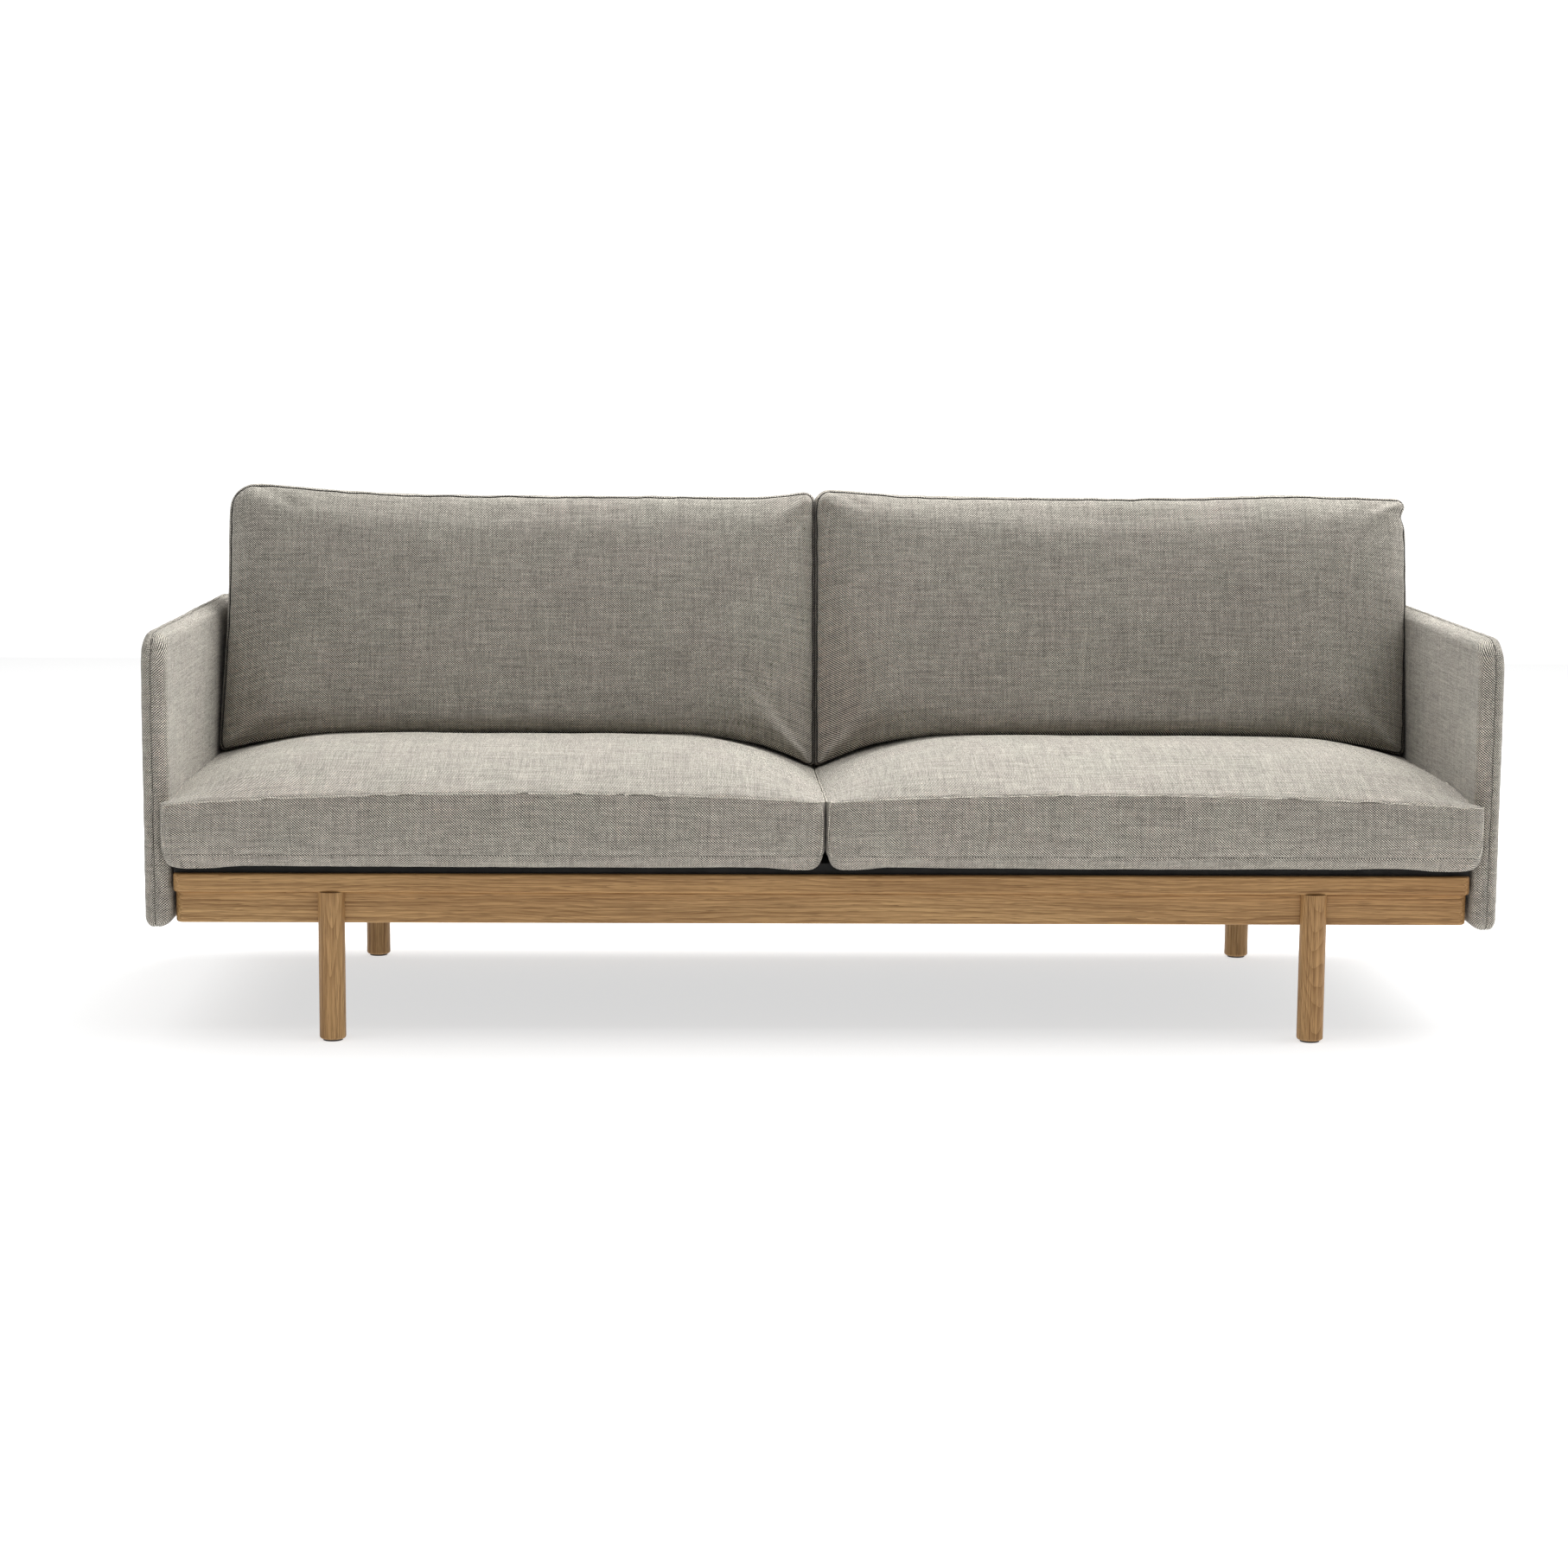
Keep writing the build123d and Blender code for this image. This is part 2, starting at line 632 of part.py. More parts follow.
def write_platform():
    half, front, rear = PLATFORM_HALF, PLATFORM_FRONT, PLATFORM_REAR
    y0, y1 = front + BAR_WIDE, rear - BAR_WIDE
    write("platform_front_bar", platform_bar(-half, half, front, y0))
    write("platform_rear_bar", platform_bar(-half, half, y1, rear))
    write("platform_right_bar", platform_bar(half - BAR_WIDE, half, y0, y1))
    write("platform_left_bar", platform_bar(-half, BAR_WIDE - half, y0, y1))
    write("platform_centre_bar", platform_bar(-BAR_WIDE / 2, BAR_WIDE / 2, y0, y1))
    write("platform_screws", *both(platform_screws()))
    straps = [webbing_strap(90 + STRAP_PITCH * i) for i in range(STRAPS_PER_SIDE)]
    write("webbing_straps", *both(straps))
    write("platform_cloth", platform_cloth())
    write("dust_cloth", dust_cloth())


def write_panel_fasteners():
    write("arm_bolts", *both(arm_bolts()))
    write("arm_spacers", *both(arm_spacers()))
    write("panel_nuts", *both(arm_nuts() + back_nuts()))
    write("corner_bolts", *both(corner_bolts()))
    write("back_brackets", back_bracket(-600), back_bracket(0), back_bracket(600))
    write("bracket_screws", *both(bracket_screws()))
    write("back_bolts", *both(back_bolts()))
    write("cover_closures", *both([arm_closure()]), back_closure())


os.makedirs("parts", exist_ok=True)
write_frame()
write_legs()
write_platform()
write_arm_panels()
write_back_panel()
write_panel_fasteners()
write_seat_cushions()
write_back_cushions()
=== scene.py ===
import json
import math

import bmesh
import bpy
import numpy as np
from mathutils import Matrix, Vector, noise
from mathutils.kdtree import KDTree


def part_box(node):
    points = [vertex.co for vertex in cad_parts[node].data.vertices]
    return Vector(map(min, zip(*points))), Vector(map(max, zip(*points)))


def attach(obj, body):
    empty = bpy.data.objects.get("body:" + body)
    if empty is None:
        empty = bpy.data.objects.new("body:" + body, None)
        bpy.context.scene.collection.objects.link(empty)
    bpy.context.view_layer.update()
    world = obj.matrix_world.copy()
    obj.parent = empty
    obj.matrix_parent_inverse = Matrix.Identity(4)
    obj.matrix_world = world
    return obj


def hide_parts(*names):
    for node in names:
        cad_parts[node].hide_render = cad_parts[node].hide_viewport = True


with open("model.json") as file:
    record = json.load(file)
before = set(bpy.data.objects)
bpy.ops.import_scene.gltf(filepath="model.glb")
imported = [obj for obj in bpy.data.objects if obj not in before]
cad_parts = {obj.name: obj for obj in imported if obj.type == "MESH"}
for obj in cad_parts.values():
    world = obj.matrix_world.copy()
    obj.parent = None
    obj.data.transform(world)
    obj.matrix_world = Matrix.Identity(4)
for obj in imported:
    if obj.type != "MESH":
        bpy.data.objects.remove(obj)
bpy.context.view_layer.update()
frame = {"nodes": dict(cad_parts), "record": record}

scene = bpy.context.scene

# ---- sizes in metres, taken from the frame where it has them
SIDES = {"left": -1.0, "right": 1.0}
seat_low, seat_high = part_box("right_seat_cushion_cover")
back_low, back_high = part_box("right_back_cushion_cover")
arm_low, arm_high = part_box("right_arm_cover")
panel_low, panel_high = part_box("back_panel_cover")
platform_low, platform_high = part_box("platform_cloth")

SKIN_GAP = 0.0012  # between cushions, and between a cushion and what it rests on
EDGE_ROWS = 8  # rows of faces round a padded edge
PANEL_STEP = 0.012  # spacing of the other rows
BORDER_MAP_TOP = 3.0  # where the border and the back panel start on the cloth map
BACK_MAP_SIDE = 5.0
CLOTH_FRAMES = 20
CLOTH = {"quality": 4, "mass": 0.3, "tension_stiffness": 20, "compression_stiffness": 12,
         "shear_stiffness": 8, "bending_stiffness": 0.8, "use_pressure": True}

# Seeds of the small irregularities, so that no two pieces are alike.
SEAT_SEED = {"left": 3, "right": 11}
BACK_SEED = {"left": 23, "right": 37}
BACK_TOP_SEED = {"left": 4, "right": 5}
ARM_SEEDS = {"left": (41, 51), "right": (47, 57)}  # of the seam's wave and of the cloth
PANEL_SEEDS = (49, 63)


# ---- small numeric helpers
def ease(value):
    """0 below 0, 1 above 1, smooth between."""
    t = np.clip(value, 0.0, 1.0)
    return t * t * (3 - 2 * t)


def swell(distance, reach, power):
    """Rises from 0 at an edge to 1 at reach from it, steeper at first for a larger power."""
    return 1 - (1 - np.clip(distance / reach, 0.0, 1.0)) ** power


def bump(value, centre, width):
    """Bell of height 1 round centre."""
    return np.exp(-(((value - centre) / width) ** 2))


def quarter_round(distance, radius):
    """Height of a quarter circle of radius 1 in height and radius in distance, flat beyond it."""
    return np.sqrt(1 - (1 - np.clip(distance / radius, 0.0, 1.0)) ** 2)


def cloth_gained(inset, profile, reach=0.3):
    """How much longer the cloth is than its plan, from this far in to the middle of the panel."""
    steps = np.linspace(0.0, reach, 1200)
    run = steps[1]
    gain = np.hypot(np.diff(profile(steps)), run) - run
    to_middle = np.concatenate([np.cumsum(gain[::-1])[::-1], [0.0]])
    return np.interp(inset, steps, to_middle)


def wander(points, scale, seed):
    """Smooth noise between about -1 and 1 at every point."""
    shift = Vector((seed * 7.31, seed * 3.17, seed * 5.73))
    return np.array([noise.noise(Vector(point) * scale + shift) for point in points])


# ---- meshes for padded pieces
def new_piece(name, points, faces, cloth_map=None, smooth=True):
    """Blender object from points and faces, with the cloth map of each face if there is one."""
    mesh = bpy.data.meshes.new(name)
    mesh.from_pydata([tuple(point) for point in points], [], faces)
    if cloth_map:
        spots = [spot for face in cloth_map for spot in face]
        mesh.uv_layers.new(name="cloth").data.foreach_set("uv", np.array(spots).ravel())
    mesh.polygons.foreach_set("use_smooth", [smooth] * len(faces))
    piece = bpy.data.objects.new(name, mesh)
    scene.collection.objects.link(piece)
    return piece


def grid_lines(length, edge):
    """Rows from one side to the other: packed like a quarter circle near both, even between."""
    near = [edge * (1 - math.cos(math.pi / 2 * k / EDGE_ROWS)) for k in range(EDGE_ROWS + 1)]
    inner = length - 2 * near[-1]
    count = max(1, round(inner / PANEL_STEP))
    middle = [near[-1] + inner * i / count for i in range(1, count)]
    return np.array(near + middle + [length - d for d in reversed(near)])


class Padded:
    """Closed skin made of a face panel, a back panel and, if rings > 0, a border between them.

    Every vertex has a place on the plan (p, q), its distance in from the plan's edge, which part
    it is on (0 face, 1 border, 2 back), how far across the border it is, and the plan's outward
    direction at the nearest edge. A shape function turns those into positions. The profiles
    give the height of the face and of the back at a distance from the edge, for the cloth map.
    """

    def __init__(self, wide, high, corners, edge, rings, depth, face_profile, back_profile):
        self.wide, self.high, self.depth = wide, high, depth
        # Corner radii: low left, low right, high left, high right; two values serve low and high.
        self.corners = np.array(corners if len(corners) == 4 else corners * 2)
        self.profiles = face_profile, back_profile
        lines_p, lines_q = grid_lines(wide, edge), grid_lines(high, edge)
        self.count_p, self.count_q = len(lines_p), len(lines_q)
        flat = np.array([(p, q) for p in lines_p for q in lines_q])
        plan = np.array([self.rounded(p, q) for p, q in flat])
        loop = self.ring(0)
        sheet = len(plan)
        inside = np.ones(sheet, bool)
        inside[loop] = False
        # With a border the back panel has an edge of its own, without one it shares the face's.
        own = inside | bool(rings)
        extra = int(own.sum())
        back_index = np.arange(sheet)
        back_index[own] = sheet + np.arange(extra)
        self.loops = [loop]
        plans, parts, across = [plan, plan[own]], [0] * sheet + [2] * extra, [0.0] * (sheet + extra)
        for k in range(1, rings):
            self.loops.append(np.arange(len(loop)) + sum(len(one) for one in plans))
            plans.append(plan[loop])
            parts += [1] * len(loop)
            across += [k / rings] * len(loop)
        if rings:
            self.loops.append(back_index[loop])
        self.plan = np.concatenate(plans)
        self.part = np.array(parts)
        self.across = np.array(across)
        self.inset, self.outward = self.edge_distance(self.plan)
        self.back_index = back_index
        self.build_faces(plan, loop, back_index)

    def radius_at(self, p, q):
        """Corner radius of the quarter of the plan that holds a point."""
        return self.corners[(p > self.wide / 2) + 2 * (q > self.high / 2)]

    def rounded(self, p, q):
        """Bends the grid's square corners onto quarter circles."""
        radius = self.radius_at(p, q)
        cp = min(max(p, radius), self.wide - radius)
        cq = min(max(q, radius), self.high - radius)
        a, b = abs(p - cp) / radius, abs(q - cq) / radius
        if a == 0 or b == 0:
            return p, q
        turn = b / a * math.pi / 4 if a >= b else math.pi / 2 - a / b * math.pi / 4
        reach = max(a, b) * radius
        return (cp + math.copysign(reach * math.cos(turn), p - cp),
                cq + math.copysign(reach * math.sin(turn), q - cq))

    def edge_distance(self, plan):
        """Distance in from the plan's edge, and the outward direction at the nearest edge."""
        radius = self.radius_at(plan[:, 0], plan[:, 1])
        half = np.array([self.wide, self.high]) / 2
        offset = plan - half
        over = np.abs(offset) - (half - radius[:, None])
        corner = (over[:, 0] > 0) & (over[:, 1] > 0)
        reach = np.hypot(np.maximum(over[:, 0], 0), np.maximum(over[:, 1], 0))
        inset = np.where(corner, radius - reach, radius - over.max(axis=1))
        sign = np.sign(offset)
        straight = np.where((over[:, 0] >= over[:, 1])[:, None], [1.0, 0.0], [0.0, 1.0]) * sign
        bend = np.maximum(over, 0) / np.maximum(reach, 1e-9)[:, None] * sign
        return inset, np.where(corner[:, None], bend, straight)

    def ring(self, k):
        """Vertices of the face panel k rows in from its edge, in order round it."""
        n, m = self.count_p, self.count_q
        path = [(i, k) for i in range(k, n - 1 - k)]
        path += [(n - 1 - k, j) for j in range(k, m - 1 - k)]
        path += [(i, m - 1 - k) for i in range(n - 1 - k, k, -1)]
        path += [(k, j) for j in range(m - 1 - k, k, -1)]
        return np.array([i * m + j for i, j in path])

    def border_path(self, at):
        """Vertices down the border at one place round it."""
        return np.array([loop[at] for loop in self.loops])

    def front_corners(self):
        """Places round the border where its two front corners turn."""
        turn = self.outward[self.loops[0]]
        return [int(np.argmax(turn @ np.array([way, -1.0]))) for way in (-1.0, 1.0)]

    def build_faces(self, plan, loop, back_index):
        """Faces of both panels and the border, with their places on the flat cloth."""
        n, m = self.count_p, self.count_q
        self.faces, self.maps = [], []
        sheet = slice(0, len(plan))
        face_cloth, back_cloth = (
            plan + self.outward[sheet] * cloth_gained(self.inset[sheet], profile)[:, None]
            for profile in self.profiles)
        for i in range(n - 1):
            for j in range(m - 1):
                quad = [i * m + j, (i + 1) * m + j, (i + 1) * m + j + 1, i * m + j + 1]
                self.faces.append(quad)
                self.maps.append([tuple(face_cloth[v]) for v in quad])
                self.faces.append([int(back_index[v]) for v in reversed(quad)])
                self.maps.append([(BACK_MAP_SIDE - back_cloth[v][0], back_cloth[v][1])
                                  for v in reversed(quad)])
        along = np.concatenate([[0], np.cumsum(np.linalg.norm(
            plan[np.roll(loop, -1)] - plan[loop], axis=1))])
        bands = len(self.loops) - 1
        for k in range(bands):
            upper, lower = self.loops[k], self.loops[k + 1]
            v0, v1 = (BORDER_MAP_TOP - self.depth * down / bands for down in (k, k + 1))
            for s in range(len(loop)):
                t = (s + 1) % len(loop)
                self.faces.append([int(upper[t]), int(upper[s]), int(lower[s]), int(lower[t])])
                self.maps.append([(along[s + 1], v0), (along[s], v0), (along[s], v1), (along[s + 1], v1)])

    def make(self, name, points, sharp_seams=0.6):
        """Blender object with this skin's faces, its cloth map, and its seams creased."""
        piece = new_piece(name, points, self.faces, self.maps)
        mesh = piece.data
        seam = set()
        for loop in (self.loops[0], self.loops[-1]):
            seam.update(tuple(sorted((int(a), int(b)))) for a, b in zip(loop, np.roll(loop, -1)))
        crease = mesh.attributes.new("crease_edge", "FLOAT", "EDGE")
        crease.data.foreach_set("value", [
            sharp_seams if tuple(sorted(edge.vertices)) in seam else 0.0 for edge in mesh.edges])
        mesh.update()
        work = bmesh.new()
        work.from_mesh(mesh)
        bmesh.ops.recalc_face_normals(work, faces=work.faces)
        work.to_mesh(mesh)
        work.free()
        return piece


def read_points(mesh, field="co"):
    """Places of all vertices, or their normals."""
    flat = np.empty(len(mesh.vertices) * 3)
    mesh.vertices.foreach_get(field, flat)
    return flat.reshape(-1, 3)


def write_points(mesh, points):
    mesh.vertices.foreach_set("co", np.asarray(points, dtype=float).ravel())
    mesh.update()


def inflate(piece, seams, pressure, cap):
    """Blows the skin up with the cloth solver, seams held, and keeps every point within cap."""
    held = piece.vertex_groups.new(name="seams")
    held.add([int(v) for loop in seams for v in loop], 1.0, "REPLACE")
    cloth = piece.modifiers.new("Cloth", "CLOTH")
    for setting, value in CLOTH.items():
        setattr(cloth.settings, setting, value)
    cloth.settings.uniform_pressure_force = pressure
    cloth.settings.vertex_group_mass = held.name
    cloth.settings.effector_weights.gravity = 0
    cloth.collision_settings.use_collision = False
    cloth.point_cache.frame_end = CLOTH_FRAMES
    before = read_points(piece.data)
    for step in range(1, CLOTH_FRAMES + 1):
        scene.frame_set(step)
    shaped = piece.evaluated_get(bpy.context.evaluated_depsgraph_get()).to_mesh()
    moved = read_points(shaped) - before
    piece.modifiers.remove(cloth)
    piece.vertex_groups.remove(held)
    scene.frame_set(1)
    length = np.linalg.norm(moved, axis=1, keepdims=True)
    moved *= cap * np.tanh(length / cap) / np.maximum(length, 1e-9)
    write_points(piece.data, before + moved)


def subdivide(piece):
    """One subdivision, made real. The first vertices stay those of the coarse skin."""
    smooth = piece.modifiers.new("Smooth", "SUBSURF")
    smooth.levels = 1
    shaped = piece.evaluated_get(bpy.context.evaluated_depsgraph_get())
    finer = bpy.data.meshes.new_from_object(shaped)
    piece.modifiers.remove(smooth)
    coarse = piece.data
    piece.data = finer
    finer.name = coarse.name
    bpy.data.meshes.remove(coarse)


def push_out(piece, amounts):
    """Moves every vertex along its normal."""
    points = read_points(piece.data)
    write_points(piece.data, points + read_points(piece.data, "normal") * np.asarray(amounts)[:, None])


def seam_distance(piece, loops):
    """Distance of every vertex from the nearest point of the given seams."""
    points = read_points(piece.data)
    spots = [points[a] * (1 - t) + points[b] * t
             for loop in loops for a, b in zip(loop, np.roll(loop, -1)) for t in (0.0, 0.5)]
    tree = KDTree(len(spots))
    for index, spot in enumerate(spots):
        tree.insert(spot, index)
    tree.balance()
    return np.array([tree.find(point)[2] for point in points])


def crumple(piece, seams, seed, waves, calm, pucker, pinch, squash=1.0):
    """Waves on the panels, puckers beside the seams and a valley along them.

    waves are pairs of height and scale, and calm is how near a seam they die out. pucker is
    height, scale and reach, pinch is depth and reach, and squash stretches puckers upwards.
    """
    points = read_points(piece.data)
    gap = seam_distance(piece, seams)
    rolling = sum(height * wander(points, scale, seed + k) for k, (height, scale) in enumerate(waves))
    rolling = rolling * (1 - np.exp(-((gap / calm) ** 2)))
    high, scale, reach = pucker
    stretched = points * np.array([1.0, 1.0, squash])
    puckers = high * wander(stretched, scale, seed + len(waves)) * np.exp(-gap / reach)
    valley = -pinch[0] * np.exp(-((gap / pinch[1]) ** 2))
    push_out(piece, rolling + puckers + valley)


# ---- seams, piping and stitches
CORD_SPACING = 0.005
CORD_SIDES = 8
STITCH_SPACING = 0.0052
STITCH_HALF_LENGTH = 0.0017
STITCH_HALF_WIDTH = 0.00045
STITCH_LIFT = 0.0001
STITCH_SIDES = 6


def resample(path, normals, spacing, closed):
    """Evenly spaced points and normals along a path."""
    if closed:
        path, normals = np.vstack([path, path[:1]]), np.vstack([normals, normals[:1]])
    along = np.concatenate([[0], np.cumsum(np.linalg.norm(np.diff(path, axis=0), axis=1))])
    count = int(along[-1] / spacing)
    spots = np.linspace(0, along[-1], count, endpoint=not closed)
    points = np.stack([np.interp(spots, along, path[:, k]) for k in range(3)], axis=1)
    out = np.stack([np.interp(spots, along, normals[:, k]) for k in range(3)], axis=1)
    return points, out / np.linalg.norm(out, axis=1, keepdims=True)


def seam_frames(points, normals, closed):
    """Unit vectors along a seam, across it, and out of the cloth."""
    if closed:
        along = np.roll(points, -1, axis=0) - np.roll(points, 1, axis=0)
    else:
        along = np.gradient(points, axis=0)
    along /= np.linalg.norm(along, axis=1, keepdims=True)
    across = np.cross(normals, along)
    across /= np.linalg.norm(across, axis=1, keepdims=True)
    return along, across, np.cross(along, across)


def path_on(piece, path, spacing, closed):
    """Evenly spaced points along a path of vertices, with their unit vectors."""
    points, normals = read_points(piece.data)[path], read_points(piece.data, "normal")[path]
    points, normals = resample(points, normals, spacing, closed)
    return points, *seam_frames(points, normals, closed)


def cord(name, piece, path, radius, lift, closed=True):
    """Thin round cord of the cover's cloth along a seam, its middle standing lift out of it."""
    points, _, across, out = path_on(piece, path, CORD_SPACING, closed)
    centre = points + out * lift
    turns = [2 * math.pi * k / CORD_SIDES for k in range(CORD_SIDES)]
    rows = [centre + radius * (math.cos(turn) * across + math.sin(turn) * out) for turn in turns]
    verts = np.stack(rows, axis=1).reshape(-1, 3)
    faces, maps = [], []
    count = len(points)
    for i in range(count if closed else count - 1):
        j = (i + 1) % count
        u0, u1 = i * CORD_SPACING, (i + 1) * CORD_SPACING
        for k in range(CORD_SIDES):
            m = (k + 1) % CORD_SIDES
            here, there = i * CORD_SIDES, j * CORD_SIDES
            faces.append([here + k, here + m, there + m, there + k])
            v0, v1 = (2 * math.pi * radius * turn / CORD_SIDES for turn in (k, k + 1))
            # Cut on the bias, so the yarns run askew along the cord.
            maps.append([(u + v, v - u) for u, v in ((u0, v0), (u0, v1), (u1, v1), (u1, v0))])
    if not closed:
        last = (count - 1) * CORD_SIDES
        for ring in (range(CORD_SIDES), reversed(range(last, count * CORD_SIDES))):
            faces.append(list(ring)[::-1])
            maps.append([(0.0, 0.0)] * CORD_SIDES)
    return new_piece(name, verts, faces, maps)


def stitches(name, piece, paths):
    """Rows of separate thread stitches lying on the cloth."""
    verts, faces = [], []
    for path in paths:
        points, along, across, out = path_on(piece, path, STITCH_SPACING, True)
        for i in range(len(points)):
            base = len(verts)
            middle = points[i] + out[i] * STITCH_LIFT
            verts += [middle - along[i] * STITCH_HALF_LENGTH, middle + along[i] * STITCH_HALF_LENGTH]
            for turn in range(STITCH_SIDES):
                angle = 2 * math.pi * turn / STITCH_SIDES
                aside = math.cos(angle) * across[i] + math.sin(angle) * out[i]
                verts.append(middle + STITCH_HALF_WIDTH * aside)
            for turn in range(STITCH_SIDES):
                a, b = base + 2 + turn, base + 2 + (turn + 1) % STITCH_SIDES
                faces += [[base, b, a], [base + 1, a, b]]
    return new_piece(name, verts, faces)


# ---- materials
class Shader:
    """A node material, written as expressions."""

    def __init__(self, name, roughness, **sockets):
        self.material = bpy.data.materials.new(name)
        self.material.use_nodes = True
        self.tree = self.material.node_tree
        self.tree.nodes.clear()
        self.surface = self.add("BsdfPrincipled")
        output = self.add("OutputMaterial")
        self.tree.links.new(self.surface.outputs[0], output.inputs[0])
        self.surface.inputs["Roughness"].default_value = roughness
        for socket, value in sockets.items():
            self.surface.inputs[socket.replace("_", " ")].default_value = value

    def add(self, kind):
        return self.tree.nodes.new("ShaderNode" + kind)

    def link(self, socket, value):
        if isinstance(value, bpy.types.NodeSocket):
            self.tree.links.new(value, socket)
        else:
            socket.default_value = value

    def math(self, operation, a, b=0.0, clamp=False):
        node = self.add("Math")
        node.operation = operation
        node.use_clamp = clamp
        self.link(node.inputs[0], a)
        self.link(node.inputs[1], b)
        return node.outputs[0]

    def times(self, a, b):
        return self.math("MULTIPLY", a, b)

    def plus(self, a, b, clamp=False):
        return self.math("ADD", a, b, clamp)

    def minus(self, a, b):
        return self.math("SUBTRACT", a, b)

    def split(self, vector):
        node = self.add("SeparateXYZ")
        self.link(node.inputs[0], vector)
        return node.outputs[0], node.outputs[1], node.outputs[2]

    def join(self, x, y, z=0.0):
        node = self.add("CombineXYZ")
        for socket, value in zip(node.inputs, (x, y, z)):
            self.link(socket, value)
        return node.outputs[0]

    def cloth_map(self):
        node = self.add("UVMap")
        node.uv_map = "cloth"
        return node.outputs[0]

    def place(self):
        return self.add("TexCoord").outputs["Object"]

    def noise(self, vector, detail=2.0, rough=0.5):
        node = self.add("TexNoise")
        for socket, value in (("Vector", vector), ("Scale", 1.0), ("Detail", detail), ("Roughness", rough)):
            self.link(node.inputs[socket], value)
        return node.outputs[0]

    def streaks(self, scales, detail):
        """Noise through the piece's own space, at its own scale along each axis."""
        spot = [self.times(part, scale) for part, scale in zip(self.split(self.place()), scales)]
        return self.noise(self.join(*spot), detail)

    def white(self, vector):
        node = self.add("TexWhiteNoise")
        node.noise_dimensions = "3D"
        self.link(node.inputs["Vector"], vector)
        return node.outputs[0]

    def blend(self, amount, a, b, mode="MIX"):
        node = self.add("Mix")
        node.data_type = "RGBA"
        node.blend_type = mode
        self.link(node.inputs[0], amount)
        self.link(node.inputs[6], (*a, 1.0) if isinstance(a, tuple) else a)
        self.link(node.inputs[7], (*b, 1.0) if isinstance(b, tuple) else b)
        return node.outputs[2]

    def tinted(self, base, tint):
        """The base colour multiplied by a tint."""
        return self.blend(1.0, base, tint, "MULTIPLY")

    def remap(self, value, low, high, out_low=0.0, out_high=1.0):
        node = self.add("MapRange")
        self.link(node.inputs[0], value)
        for index, number in enumerate((low, high, out_low, out_high), start=1):
            node.inputs[index].default_value = number
        return node.outputs[0]

    def colour(self, value):
        self.link(self.surface.inputs["Base Color"], value)

    def rough(self, value):
        self.link(self.surface.inputs["Roughness"], value)

    def relief(self, height, distance, strength=1.0):
        node = self.add("Bump")
        for socket, value in (("Strength", strength), ("Distance", distance), ("Height", height)):
            self.link(node.inputs[socket], value)
        self.tree.links.new(node.outputs[0], self.surface.inputs["Normal"])


WARP_PITCH = 0.0022
WEFT_PITCH = 0.0020
FABRIC_LIGHT = (0.815, 0.764, 0.674)
FABRIC_DARK = (0.016, 0.015, 0.011)
COOL_TINT = (0.992, 1.0, 0.985)
WARM_TINT = (1.010, 0.995, 0.992)
RINGS_PER_METRE = 250
OAK_LIGHT = (0.60, 0.372, 0.162)
OAK_MID = (0.27, 0.142, 0.052)
OAK_DARK = (0.13, 0.062, 0.020)
OAK_BOARD_TINT = (0.84, 0.77, 0.70)


